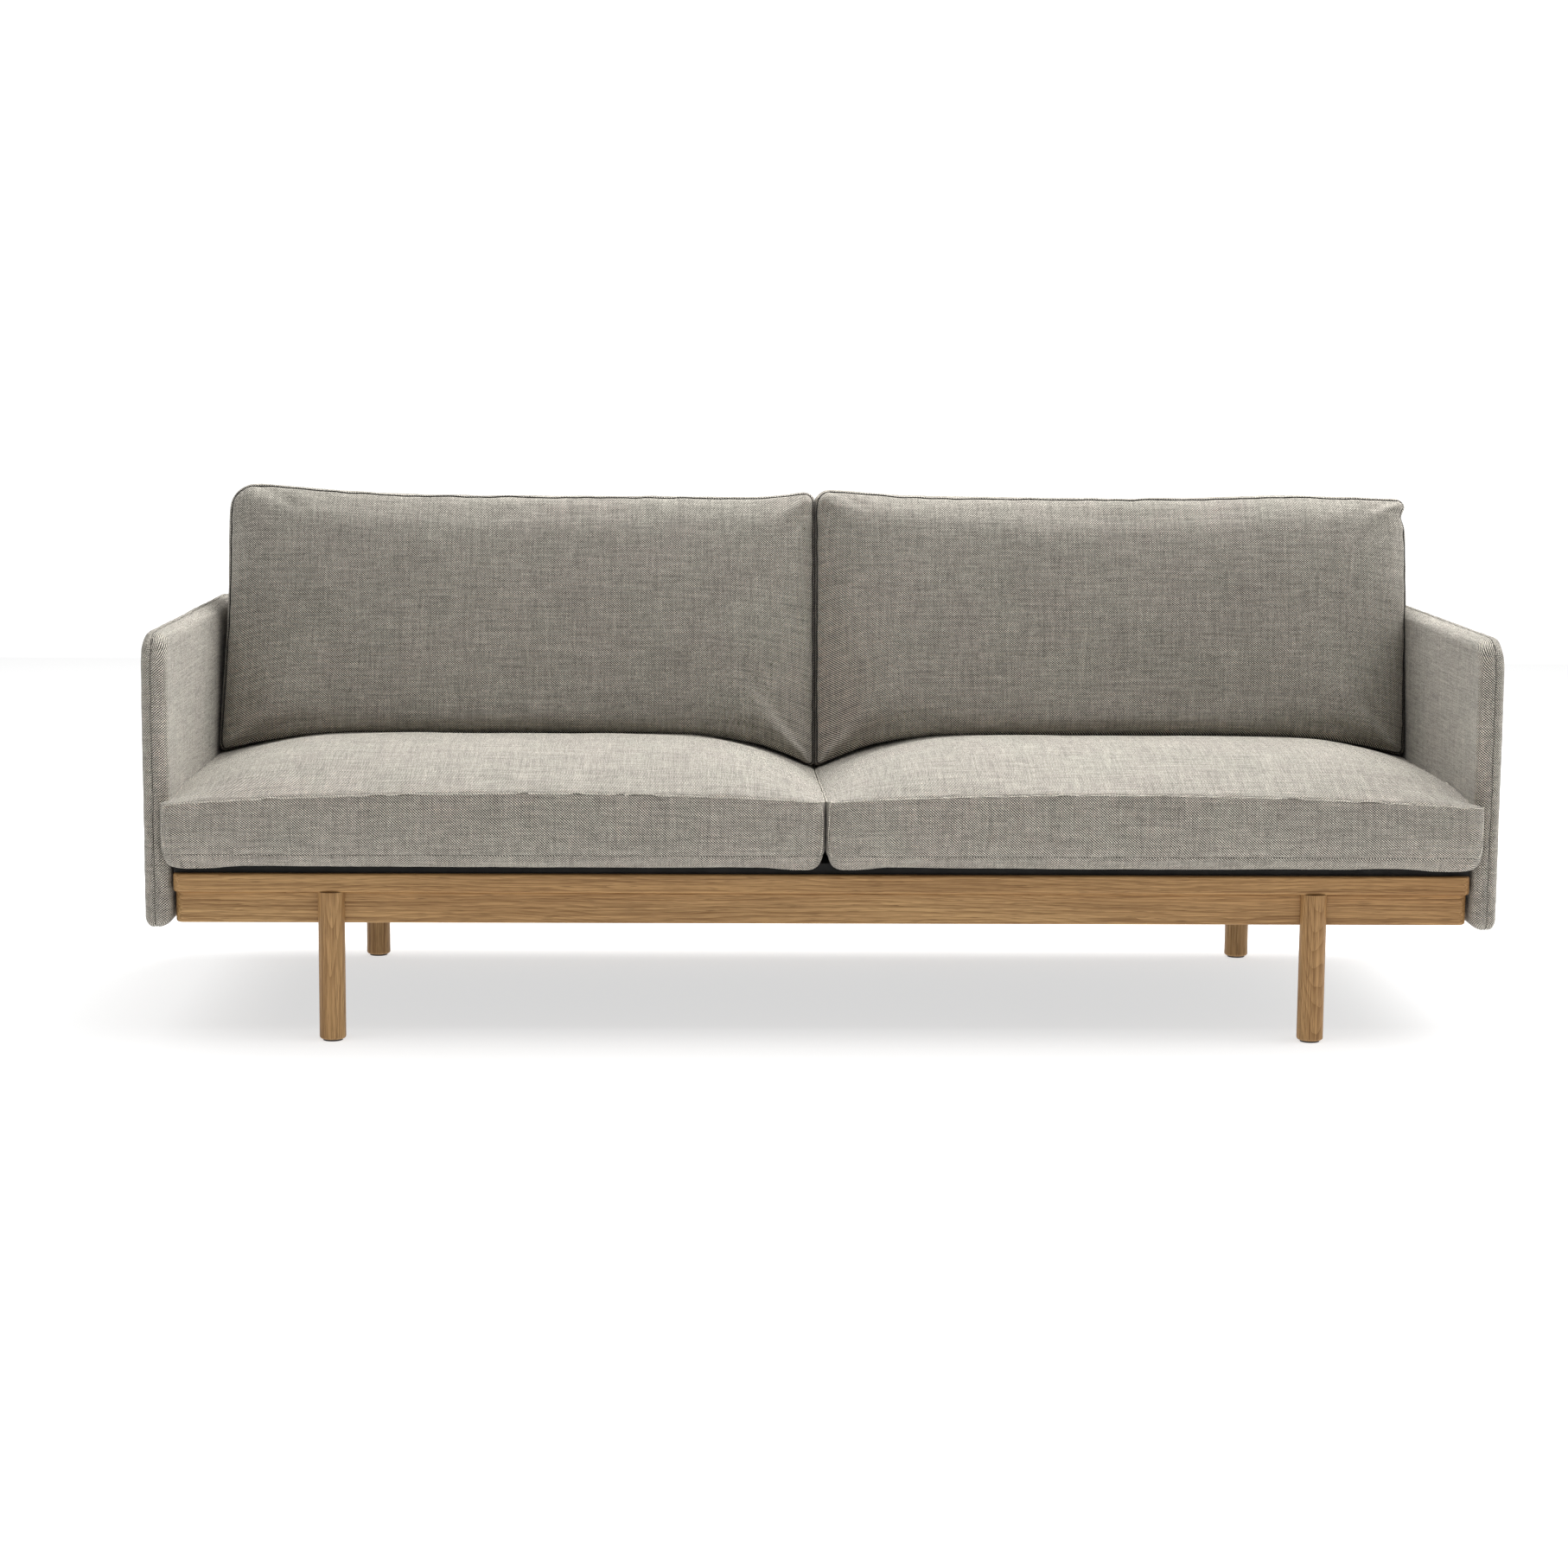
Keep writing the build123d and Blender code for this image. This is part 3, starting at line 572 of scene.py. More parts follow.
def cover_fabric(name, light, dark, lift=1.0):
    """Coarse two-tone weave with a slight diagonal, slubs along both yarns and soft tints. lift scales its
    brightness: above 1 it is a painted highlight, below 1 painted shade.
    """
    cloth = Shader(name, 0.92, Sheen_Weight=0.15, Sheen_Roughness=0.4, Specular_IOR_Level=0.15)
    u, v, _ = cloth.split(cloth.cloth_map())

    def stretched(scale_u, scale_v, layer=0.0, detail=2.0):
        return cloth.noise(cloth.join(cloth.times(u, scale_u), cloth.times(v, scale_v), layer), detail, 0.6)

    # Hand-spun yarns are never quite straight, so the weave drifts by a fraction of a yarn.
    shift = cloth.remap(stretched(35, 35, detail=1.0), 0.3, 0.7, -0.22, 0.22)
    warp = cloth.plus(cloth.math("DIVIDE", u, WARP_PITCH), shift)
    weft = cloth.plus(cloth.math("DIVIDE", v, WEFT_PITCH), shift)
    warp_cell, weft_cell = cloth.math("FLOOR", warp), cloth.math("FLOOR", weft)
    rising = cloth.math("COSINE", cloth.times(cloth.minus(warp, weft), math.pi))
    falling = cloth.math("COSINE", cloth.times(cloth.plus(warp, weft), math.pi))
    # Pale yarn comes to the top on one colour of a chequer, pulled out along the falling diagonal.
    weave = cloth.minus(cloth.times(rising, 0.42), cloth.times(falling, 0.58))
    spot_shade = cloth.white(cloth.join(warp_cell, weft_cell, 3.0))
    pale = cloth.remap(cloth.plus(weave, cloth.remap(spot_shade, 0, 1, -0.09, 0.09)), -0.13, 0.35)
    # Thick and thin places along the yarns, and yarns that are lighter or darker for a while.
    across_slub, along_slub = stretched(26, 470, 1.5), stretched(470, 26, 2.5)
    warp_run = cloth.math("FLOOR", cloth.times(v, 12))
    weft_run = cloth.math("FLOOR", cloth.times(u, 14))
    warp_shade = cloth.white(cloth.join(warp_cell, warp_run, 1.0))
    weft_shade = cloth.white(cloth.join(weft_run, weft_cell, 2.0))
    shade = cloth.remap(across_slub, 0.32, 0.68, -0.19, 0.16)
    for amount in (cloth.remap(along_slub, 0.32, 0.68, -0.15, 0.15),
                   cloth.remap(warp_shade, 0, 1, -0.07, 0.07),
                   cloth.remap(weft_shade, 0, 1, -0.09, 0.09),
                   cloth.remap(stretched(7, 7, 0.5), 0.3, 0.7, -0.03, 0.03)):
        shade = cloth.plus(shade, amount)
    # lift brightens or darkens the whole cloth: painted highlight above 1, painted shade below 1.
    shade = cloth.times(cloth.plus(shade, 1.0), lift)
    tint = cloth.remap(stretched(13, 9, 3.5), 0.35, 0.65)
    base = cloth.blend(pale, dark, light)
    base = cloth.blend(tint, cloth.tinted(base, COOL_TINT), cloth.tinted(base, WARM_TINT))
    cloth.colour(cloth.tinted(base, cloth.join(shade, shade, shade)))
    height = cloth.plus(pale, cloth.remap(across_slub, 0.3, 0.7, -0.3, 0.3))
    cloth.relief(height, 0.0003, 0.7)
    return cloth.material


def oak(name, grain, seed, heart=(-0.055, 0.0), taper=0.010):
    """Oiled oak with its grain along one axis: growth rings, fibres, pores and broad streaks.

    heart is where the middle of the tree would be, across the grain, and taper is how fast the
    rings run out along it: near the surface and fast, they show as arches.
    """
    wood = Shader(name, 0.5, Specular_IOR_Level=0.3, Coat_Weight=0.04, Coat_Roughness=0.4)
    x, y, z = wood.split(wood.place())
    along, side, rise = {"X": (x, y, z), "Y": (y, x, z), "Z": (z, x, y)}[grain]
    moved_side = wood.plus(side, seed * 0.37)

    def stretched(long_scale, cross_scale, **settings):
        spot = wood.join(wood.times(along, long_scale), wood.times(moved_side, cross_scale),
                         wood.times(rise, cross_scale))
        return wood.noise(spot, **settings)

    sway = wood.times(wood.minus(stretched(1.6, 9, detail=3.0), 0.5), 0.055)
    out_side, out_rise = wood.minus(side, heart[0]), wood.minus(rise, heart[1])
    reach = wood.math("SQRT", wood.plus(wood.times(out_side, out_side), wood.times(out_rise, out_rise)))
    distance = wood.plus(wood.plus(reach, sway), wood.times(along, taper))
    late = wood.math("POWER", wood.math("FRACT", wood.times(distance, RINGS_PER_METRE)), 2.0)
    fibre = stretched(7, 700, detail=3.0, rough=0.7)
    streak = stretched(1.8, 160, detail=4.0, rough=0.7)
    pore = stretched(30, 1300, detail=1.0)
    pores = wood.times(wood.remap(pore, 0.56, 0.66), wood.remap(late, 0.0, 0.7, 1.0, 0.35))
    tone = wood.plus(wood.times(late, 0.50), wood.remap(streak, 0.34, 0.66, -0.10, 0.66))
    tone = wood.plus(tone, wood.remap(fibre, 0.34, 0.66, -0.42, 0.42), clamp=True)
    base = wood.blend(tone, OAK_LIGHT, OAK_MID)
    base = wood.blend(wood.times(pores, 0.70), base, OAK_DARK)
    board = stretched(0.9, 9, detail=2.0)
    base = wood.blend(wood.remap(board, 0.35, 0.65), base, wood.tinted(base, OAK_BOARD_TINT))
    wood.colour(base)
    wood.rough(wood.remap(fibre, 0.3, 0.7, 0.42, 0.58))
    groove = wood.plus(wood.times(pores, -1.0), wood.times(fibre, 0.3))
    wood.relief(groove, 0.00012, 0.6)
    return wood.material


def plain_wood(name, light, dark, layers=0.0):
    """Unfinished board: faint grain, and plies through its thickness if layers is their pitch."""
    wood = Shader(name, 0.75)
    grain = wood.streaks((6, 90, 160), 3.0)
    tone = wood.remap(grain, 0.3, 0.7)
    if layers:
        x, y, _ = wood.split(wood.place())
        ply = wood.math("FRACT", wood.math("DIVIDE", wood.plus(x, y), layers))
        tone = wood.plus(wood.times(tone, 0.5), wood.times(ply, 0.5))
    wood.colour(wood.blend(tone, light, dark))
    wood.relief(grain, 0.0001, 0.5)
    return wood.material


def shade(colour, share):
    return tuple(share * part for part in colour)


def speckled(name, roughness, scales, detail, tones, spread, relief=None, **sockets):
    """Plain material whose two tones follow a noise with its own scale along each axis."""
    plain = Shader(name, roughness, **sockets)
    grain = plain.streaks(scales, detail)
    plain.colour(plain.blend(plain.remap(grain, 0.5 - spread, 0.5 + spread), *tones))
    if relief:
        plain.relief(grain, *relief)
    return plain.material


def soft_filling(name, colour, cell):
    """Foam or fibre: fine cells with a little unevenness."""
    return speckled(name, 0.95, (1 / cell,) * 3, 2.0, (shade(colour, 0.82), colour), 0.15, (cell, 0.6))


def thin_cloth(name, colour, pitch):
    """Plain dark cloth with a fine crossed texture."""
    cloth = Shader(name, 0.9, Sheen_Weight=0.1)
    x, y, z = cloth.split(cloth.place())
    waves = [cloth.math("SINE", cloth.times(cloth.plus(side, z), 2 * math.pi / pitch)) for side in (x, y)]
    uneven = cloth.streaks((30, 30, 1), 3.0)
    lighter = tuple(1.7 * part + 0.004 for part in colour)
    cloth.colour(cloth.blend(cloth.remap(uneven, 0.3, 0.7), colour, lighter))
    cloth.relief(cloth.times(*waves), pitch / 4, 0.5)
    return cloth.material


def moulded(name, colour, roughness):
    """Nylon with a fine moulded grain."""
    tones = colour, shade(colour, 1.25)
    return speckled(name, roughness, (2500,) * 3, 2.0, tones, 0.2, (0.00008, 0.5))


def plated_steel(name):
    """Zinc-plated steel with fine marks along it."""
    steel = Shader(name, 0.35, Metallic=1.0)
    marks = steel.streaks((300, 1800, 1800), 3.0)
    steel.colour(steel.blend(steel.remap(marks, 0.3, 0.7), (0.50, 0.50, 0.51), (0.66, 0.66, 0.67)))
    steel.rough(steel.remap(marks, 0.3, 0.7, 0.28, 0.45))
    return steel.material


def thread_material(name, colour):
    """Twisted sewing thread."""
    tones = shade(colour, 0.75), colour
    return speckled(name, 0.7, (1800,) * 3, 1.0, tones, 0.15, Sheen_Weight=0.2)


fabric = cover_fabric("cover_fabric", FABRIC_LIGHT, FABRIC_DARK)
# Brightened copy of the cover cloth for the raised seam cords: a painted highlight.
painted_highlight_cloth = cover_fabric("painted_highlight_seam_cloth", FABRIC_LIGHT, FABRIC_DARK, 1.5)
# Darkened copy of the cover cloth for the lower seat seams and the arm and back panel seams: painted shade.
painted_shade_cloth = cover_fabric("painted_shade_cloth", FABRIC_LIGHT, FABRIC_DARK, 0.55)
# Much darkened copy of the cover cloth for the back cushions' piping: painted shade of the crevice along
# the seam.
painted_deep_shade_cloth = cover_fabric("painted_deep_shade_cloth", FABRIC_LIGHT, FABRIC_DARK, 0.13)
thread = thread_material("sewing_thread", (0.46, 0.44, 0.39))


def dress(piece, material):
    """Gives a piece or a CAD node this one material."""
    if not piece.data.materials:
        piece.data.materials.append(material)
    for place in piece.material_slots:
        place.link = "OBJECT"
        place.material = material


# ---- seat cushions
SEAT_SEAM_IN = 0.005  # the front seam lies this far behind the bulge of the front
SEAT_REAR_ROOM = 0.008  # left behind the rear seam for the bulge of the rear
SEAT_LOWER_SEAM = 0.0165  # height of the lower seam above the platform
SEAT_DROOP = 0.0075  # how far the overhanging nose hangs below the top of the platform
SEAT_FOOT_ROUND = 0.014
SEAT_CORNER = 0.024
SEAT_WIDE = seat_high[0] - seat_low[0] - SKIN_GAP
SEAT_LONG = seat_high[1] - seat_low[1] - SEAT_SEAM_IN - SEAT_REAR_ROOM
SEAT_ACROSS = {"reach": 0.30, "inner": 3.2, "outer": 3.0}
SEAT_ALONG = {"reach": 0.26, "power": 2.9}
SEAT_CROWN = seat_high[2] + 0.007
SEAT_DIP = 0.0205  # how far the back cushion presses into the seat
SEAT_DIP_START = 0.365  # and how far behind the front seam it begins
SEAT_DIP_RUN = 0.13
# Height of the top seam at the front, its fall or rise towards the rear, and its bow in front.
SEAT_SEAM = {"inner": 0.398, "inner_fall": 0.017, "outer": 0.391, "outer_rise": 0.012, "bow": 0.018}
SEAT_BULGE = {"front": 0.008, "rear": 0.0065, "side": 0.0004}
SEAT_SPREAD = 0.014  # how far the front outer corner spreads past the arm's inside
SEAT_CREASES = {"waves": [(0.0022, 5.0), (0.0010, 14.0)], "calm": 0.03, "squash": 0.4,
                "pucker": (0.0011, 42.0, 0.022), "pinch": (0.0016, 0.0035)}


def seat_seam_height(p, q):
    """Height of the top seam, carried across the cushion."""
    inner = SEAT_SEAM["inner"] - SEAT_SEAM["inner_fall"] * ease(q / 0.5)
    outer = SEAT_SEAM["outer"] + SEAT_SEAM["outer_rise"] * ease(q / 0.2)
    share = p / SEAT_WIDE
    bow = SEAT_SEAM["bow"] * np.sin(math.pi * np.clip(share, 0, 1)) ** 0.7 * (1 - swell(q, 0.26, 2.4))
    return inner + (outer - inner) * share + bow


def seat_height(p, q):
    """Height of the top panel at p from the middle of the sofa and q from the front seam."""
    base = seat_seam_height(p, q)
    reach, power = SEAT_ACROSS["reach"], SEAT_ALONG["power"]
    across = swell(p, reach, SEAT_ACROSS["inner"]) * swell(SEAT_WIDE - p, reach, SEAT_ACROSS["outer"])
    along = swell(q, SEAT_ALONG["reach"], power) * swell(SEAT_LONG - q, SEAT_ALONG["reach"], power)
    dip = SEAT_DIP * ease((q - SEAT_DIP_START) / SEAT_DIP_RUN)
    return base + (SEAT_CROWN - dip - base) * across * along


def seat_shape(skin):
    """Points of a right-hand seat cushion's skin."""
    p, q = skin.plan[:, 0], skin.plan[:, 1]
    lower_seam = platform_high[2] + SEAT_LOWER_SEAM
    foot = platform_high[2] + SKIN_GAP - (SEAT_DROOP + SKIN_GAP) * overhang(q)
    upper = seat_height(p, q)
    lower = lower_seam - (lower_seam - foot) * quarter_round(skin.inset, SEAT_FOOT_ROUND)
    border = upper + (lower_seam - upper) * skin.across
    z = np.select([skin.part == 0, skin.part == 1], [upper, border], lower)
    front, rear, side = -skin.outward[:, 1], skin.outward[:, 1], np.abs(skin.outward[:, 0])
    bulge = SEAT_BULGE["front"] * np.maximum(front, 0) ** 2
    bulge = bulge + SEAT_BULGE["rear"] * np.maximum(rear, 0) ** 2 + SEAT_BULGE["side"] * side**2
    bulge = bulge * np.sin(math.pi * skin.across) ** 0.8 * (skin.part == 1)
    # In front of the arms nothing holds the cushion in, so it spreads.
    spread = SEAT_SPREAD * ease((0.038 - q) / 0.016) * (p / SEAT_WIDE) ** 12
    x = p + bulge * skin.outward[:, 0] + spread
    y = q + bulge * skin.outward[:, 1]
    return np.stack([seat_low[0] + SKIN_GAP / 2 + x, seat_low[1] + SEAT_SEAM_IN + y, z], axis=1)


def overhang(q):
    """1 where the nose of the cushion is in front of the platform, 0 on the platform."""
    edge = platform_low[1] - seat_low[1] - SEAT_SEAM_IN
    return ease((edge - 0.002 - q) / 0.014)


def keep_seat_clear(points):
    """Holds a seat cushion's skin off the arm, its neighbour, the back panel and the platform."""
    held = points.copy()
    held[:, 0] = np.maximum(held[:, 0], seat_low[0])
    beside_arm = held[:, 1] > arm_low[1] + 0.014
    held[:, 0] = np.where(beside_arm, np.minimum(held[:, 0], seat_high[0]), held[:, 0])
    held[:, 1] = np.minimum(held[:, 1], seat_high[1])
    q = held[:, 1] - seat_low[1] - SEAT_SEAM_IN
    foot = platform_high[2] + SKIN_GAP - (SEAT_DROOP + SKIN_GAP) * overhang(q)
    held[:, 2] = np.maximum(held[:, 2], foot)
    # The cloth is drawn flat round the zip, which is sewn on top of it.
    zip_low, zip_high = (np.array(corner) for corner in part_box("right_seat_cushion_zip"))
    aside = np.maximum(zip_low - held, held - zip_high)
    near = ease(1 - aside[:, 0] / 0.03) * ease(1 - aside[:, 2] / 0.022) * (held[:, 1] > 0.3)
    held[:, 1] += near * (zip_low[1] + 0.0003 - held[:, 1])
    return held


def seat_cushion(side):
    """Boxed cushion with a crowned top, a welted top seam and a plain lower one."""
    name = f"{side}_seat_cushion"
    skin = Padded(SEAT_WIDE, SEAT_LONG, (SEAT_CORNER, SEAT_CORNER), 0.03, 10, 0.10,
                  lambda d: 0.05 * swell(d, 0.28, 2.4),
                  lambda d: (SEAT_LOWER_SEAM + SEAT_DROOP) * quarter_round(d, SEAT_FOOT_ROUND))
    piece = skin.make(f"{name}_skin", seat_shape(skin))
    seams = [skin.loops[0], skin.loops[-1]]
    inflate(piece, seams, pressure=3.0, cap=0.006)
    subdivide(piece)
    crumple(piece, seams, SEAT_SEED[side], **SEAT_CREASES)
    write_points(piece.data, keep_seat_clear(read_points(piece.data)))
    # The top seam cord and the front corner cords are dressed with a painted highlight.
    raised = [cord(f"{name}_top_seam", piece, skin.loops[0], 0.0013, 0.0011)]
    # The lower seam cord is dressed with painted shade.
    sunk = [cord(f"{name}_lower_seam", piece, skin.loops[-1], 0.0008, -0.0002)]
    rows = [stitches(f"{name}_stitching", piece, [skin.ring(2)])]
    raised += [cord(f"{name}_corner_seam_{k}", piece, skin.border_path(at), 0.0010, 0.0002, closed=False)
               for k, at in enumerate(skin.front_corners())]
    for parts, material in ((raised, painted_highlight_cloth), (sunk, painted_shade_cloth), (rows, thread)):
        for part in parts:
            dress(part, material)
    finish_cushion(piece, side, "seat_cushion", raised + sunk + rows)
    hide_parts(f"{name}_cover", f"{name}_wrap", f"{name}_core")


def turn_map(mesh):
    """Turns the cloth map over, so that a mirrored piece keeps the cloth's own diagonal."""
    for layer in mesh.uv_layers:
        flat = np.empty(len(mesh.loops) * 2)
        layer.data.foreach_get("uv", flat)
        flat[::2] *= -1
        layer.data.foreach_set("uv", flat)


def finish_cushion(piece, side, kind, seams):
    """Adds the pieces sewn along the seams, mirrors all of it to its side and dresses it."""
    dress(piece, fabric)
    for part in [piece, *seams]:
        if side == "left":
            write_points(part.data, read_points(part.data) * np.array([-1.0, 1.0, 1.0]))
            part.data.flip_normals()
            turn_map(part.data)
        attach(part, f"{side}_{kind}")


# ---- back cushions
BACK_LEAN = math.radians(12)
BACK_FOOT_Y = 0.062
BACK_FOOT_Z = 0.388
BACK_WIDE = back_high[0] - back_low[0] - 0.004
BACK_TALL = 0.49
# Corner radii: low inner, low outer, high inner, high outer.
BACK_CORNERS = {"left": (0.016, 0.016, 0.020, 0.046), "right": (0.016, 0.016, 0.026, 0.016)}
BACK_SPREAD = {"left": (0.004, -0.008), "right": (0.004, 0.012)}  # outwards, at the foot and on top
BACK_ROLL = 0.034  # width of the rounding inside each seam
BACK_THICK = 0.240
BACK_ZIP = {"half": 0.350, "up": 0.110}
FRONT_SEAM = 0.036  # how far behind the foremost line of the front the front seam lies
REAR_SEAM = 0.195
BACK_BULGE = 0.009  # of the border between its seams
BACK_CROWN_REACH = 0.20
BACK_EDGE_WAVE = 0.0012  # of the top edge
BACK_NARROWING = 14  # how fast the roundings at the sides are left behind near the foot
EAR_NIP = {"depth": 0.008, "below_top": 0.030, "tall": 0.013, "start": 0.97, "run": 0.06}
BACK_CREASES = {"waves": [(0.005, 3.6), (0.0018, 10.0)], "calm": 0.05,
                "pucker": (0.0016, 34.0, 0.028), "pinch": (0.0020, 0.004)}
BACK_TOP = {
    # distance from the middle of the sofa is p; each side's top edge has its own sag and ears
    "left": lambda p: 0.486 + 0.019 * bump(p, 1.05, 0.20) + 0.010 * bump(p, 0.0, 0.05),
    "right": lambda p: 0.487 + 0.012 * bump(p, 0.0, 0.13) + 0.006 * bump(p, 0.86, 0.16),
}


def back_to_world(x, t, h):
    """Leaning frame (depth t behind the front plane, h up the cushion) to the sofa's own."""
    y = BACK_FOOT_Y + t * math.cos(BACK_LEAN) + h * math.sin(BACK_LEAN)
    z = BACK_FOOT_Z - t * math.sin(BACK_LEAN) + h * math.cos(BACK_LEAN)
    return np.stack([x, y, z], axis=1)


def back_from_world(points):
    """Depth t and height h of points in the leaning frame."""
    y, z = points[:, 1] - BACK_FOOT_Y, points[:, 2] - BACK_FOOT_Z
    lean = np.array([math.cos(BACK_LEAN), math.sin(BACK_LEAN)])
    return y * lean[0] - z * lean[1], y * lean[1] + z * lean[0]


def seat_under(x, y):
    """Height of the seat's skin under a point of the right half."""
    p = np.clip(x - seat_low[0], 0, SEAT_WIDE)
    q = np.clip(y - seat_low[1] - SEAT_SEAM_IN, 0, SEAT_LONG)
    return seat_height(p, q)


def back_face(inset):
    """How far the face stands in front of its seam."""
    return 0.020 * quarter_round(inset, BACK_ROLL) + 0.016 * swell(inset, BACK_CROWN_REACH, 2.0)


def back_rear(inset):
    """How far the rear stands behind its seam."""
    return 0.014 * quarter_round(inset, BACK_ROLL) + 0.032 * swell(inset, BACK_CROWN_REACH, 2.0)


def back_shape(skin, side):
    """Points of a back cushion's skin, drawn as a right-hand one."""
    p, up = skin.plan[:, 0], skin.plan[:, 1] / BACK_TALL
    wave = wander(np.column_stack([p, p * 0, p * 0]), 21.0, BACK_TOP_SEED[side])
    top = BACK_TOP[side](p) + BACK_EDGE_WAVE * wave
    seat_z = seat_under(p + back_low[0], np.full_like(p, BACK_FOOT_Y + 0.06))
    foot = (seat_z + SKIN_GAP - BACK_FOOT_Z + FRONT_SEAM * math.sin(BACK_LEAN)) / math.cos(BACK_LEAN)
    h = foot + (top - foot) * up
    # The face and the rear run almost straight down into the seat before they turn under.
    beside = np.maximum(np.minimum(p, BACK_WIDE - p), 0.001)
    below = np.clip(1 - skin.plan[:, 1] / beside, 0, 1) * ease(2 - 4 * up) * ease(beside / 0.11)
    inset = skin.inset * (1 + BACK_NARROWING * below)
    seam_t = FRONT_SEAM + (REAR_SEAM - FRONT_SEAM) * skin.across
    t = np.select([skin.part == 0, skin.part == 2],
                  [FRONT_SEAM - back_face(inset), REAR_SEAM + back_rear(inset)], seam_t)
    bulge = BACK_BULGE * np.sin(math.pi * skin.across) ** 0.4 * (skin.part == 1)
    x = p + bulge * skin.outward[:, 0]
    h = h + bulge * np.maximum(skin.outward[:, 1], 0)
    if side == "right":
        nip = bump(h, top - EAR_NIP["below_top"], EAR_NIP["tall"])
        x = x - EAR_NIP["depth"] * nip * ease((p - EAR_NIP["start"]) / EAR_NIP["run"])
    # One cushion is pressed wide against the arm at its foot, the other leans over the arm.
    foot_out, top_out = BACK_SPREAD[side]
    x = x + ease((p - 0.6) / 0.4) * (foot_out + (top_out - foot_out) * ease(h / 0.35))
    return back_to_world(x + back_low[0] + 0.002, t, h)


def keep_back_clear(points):
    """Holds a back cushion's skin off its neighbour, the arm, the seat and the back panel."""
    held = points.copy()
    held[:, 0] = np.maximum(held[:, 0], back_low[0])
    beside_arm = held[:, 2] < arm_high[2] + 0.002
    held[:, 0] = np.where(beside_arm, np.minimum(held[:, 0], seat_high[0]), held[:, 0])
    held[:, 2] = np.maximum(held[:, 2], seat_under(held[:, 0], held[:, 1]) + SKIN_GAP)
    behind = held[:, 2] < panel_high[2] + 0.004
    held[:, 1] = np.where(behind, np.minimum(held[:, 1], panel_low[1] - SKIN_GAP), held[:, 1])
    # The cloth is drawn flat round the zip, which is sewn on top of it.
    depth, height = back_from_world(held)
    aside = np.abs(held[:, 0] - (back_low[0] + back_high[0]) / 2) - BACK_ZIP["half"]
    near = ease(1 - aside / 0.03) * ease(1.1 - np.abs(height - BACK_ZIP["up"]) / 0.03) * (depth > 0.15)
    move = near * (BACK_THICK - 0.0012 - depth)
    held[:, 1] += move * math.cos(BACK_LEAN)
    held[:, 2] -= move * math.sin(BACK_LEAN)
    return held


def back_cushion(side):
    """Feather cushion with a piped border, soft ears and a face that leans back."""
    name = f"{side}_back_cushion"
    skin = Padded(BACK_WIDE, BACK_TALL, BACK_CORNERS[side], BACK_ROLL, 12, 0.16, back_face, back_rear)
    piece = skin.make(f"{name}_skin", back_shape(skin, side))
    seams = [skin.loops[0], skin.loops[-1]]
    inflate(piece, seams, pressure=3.0, cap=0.008)
    subdivide(piece)
    crumple(piece, seams, BACK_SEED[side], **BACK_CREASES)
    write_points(piece.data, keep_back_clear(read_points(piece.data)))
    cords = [cord(f"{name}_seam_{k}", piece, loop, 0.0015, 0.0005) for k, loop in enumerate(seams)]
    # The piping cords are dressed with deep painted shade.
    for line in cords:
        dress(line, painted_deep_shade_cloth)
    finish_cushion(piece, side, "back_cushion", cords)
    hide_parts(f"{name}_cover", f"{name}_filling")


# ---- arms and back panel
SLAB_EDGE = 0.019  # width of the rounding on each side of the seam
SLAB_CREASE = 0.8  # how sharp the seam stays when the skin is subdivided
# Corner radii of an arm: low front, low rear, high front, high rear.
ARM_CORNERS = (0.022, 0.022, 0.055, 0.022)
PANEL_CORNERS = (0.012, 0.012)
ARM_SEAM_ASIDE = 0.004  # how far the arm's seam lies off the middle of its edge


def slab_profile(thick):
    """Height of a slab's face off its middle plane, by distance from its edge."""
    return lambda inset: thick / 2 * quarter_round(inset, SLAB_EDGE)


def slab_shape(skin, thick, seed, seam_offset=0.0):
    """Thin padded panel as plan p, plan q, and height off its middle plane."""
    height = slab_profile(thick)(skin.inset) * np.where(skin.part == 2, -1, 1)
    near_seam = np.exp(-((skin.inset / 0.006) ** 2))
    wave = 0.0012 * wander(np.column_stack([skin.plan, np.zeros(len(skin.plan))]), 22.0, seed)
    height = height + (seam_offset + wave) * near_seam
    draw = 0.0022 * np.exp(-((height - seam_offset) / 0.0035) ** 2) * (skin.inset < SLAB_EDGE)
    plan = skin.plan - draw[:, None] * skin.outward
    return plan[:, 0], plan[:, 1], height


def slab(name, low, high, thin, corners, seeds, seam_aside=0.0, way=1.0):
    """Upright padded panel that fills a box, thin along one axis, sewn round the middle of its edge.

    seam_aside is how far its seam lies off that middle, and way is -1 on the other side of the sofa.
    """
    long = 1 - thin
    thick = high[thin] - low[thin]
    profile = slab_profile(thick)
    skin = Padded(high[long] - low[long], high[2] - low[2], corners, SLAB_EDGE, 0, 0.0, profile, profile)
    points = np.empty((len(skin.plan), 3))
    points[:, long], points[:, 2], points[:, thin] = slab_shape(skin, thick, seeds[0], seam_aside)
    points += [low[0], low[1], low[2]]
    points[:, thin] += thick / 2
    points[:, 0] *= way
    piece = skin.make(f"{name}_skin", points, SLAB_CREASE)
    subdivide(piece)
    points = read_points(piece.data)
    seam_gap = seam_distance(piece, [skin.loops[0]])
    pucker = 0.0012 * wander(points, 40.0, seeds[1]) * np.exp(-seam_gap / 0.030)
    rolling = 0.0011 * wander(points, 6.0, seeds[1] + 1) * (1 - np.exp(-seam_gap / 0.03))
    push_out(piece, pucker + rolling - 0.0006)
    rows = stitches(f"{name}_stitching", piece, [skin.ring(1), skin.back_index[skin.ring(1)]])
    # The seam cord is dressed with painted shade.
    line = cord(f"{name}_seam", piece, skin.loops[0], 0.0010, 0.0003)
    for part, material in ((piece, fabric), (rows, thread), (line, painted_shade_cloth)):
        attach(part, "sofa")
        dress(part, material)
    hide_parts(f"{name}_cover", f"{name}_padding")


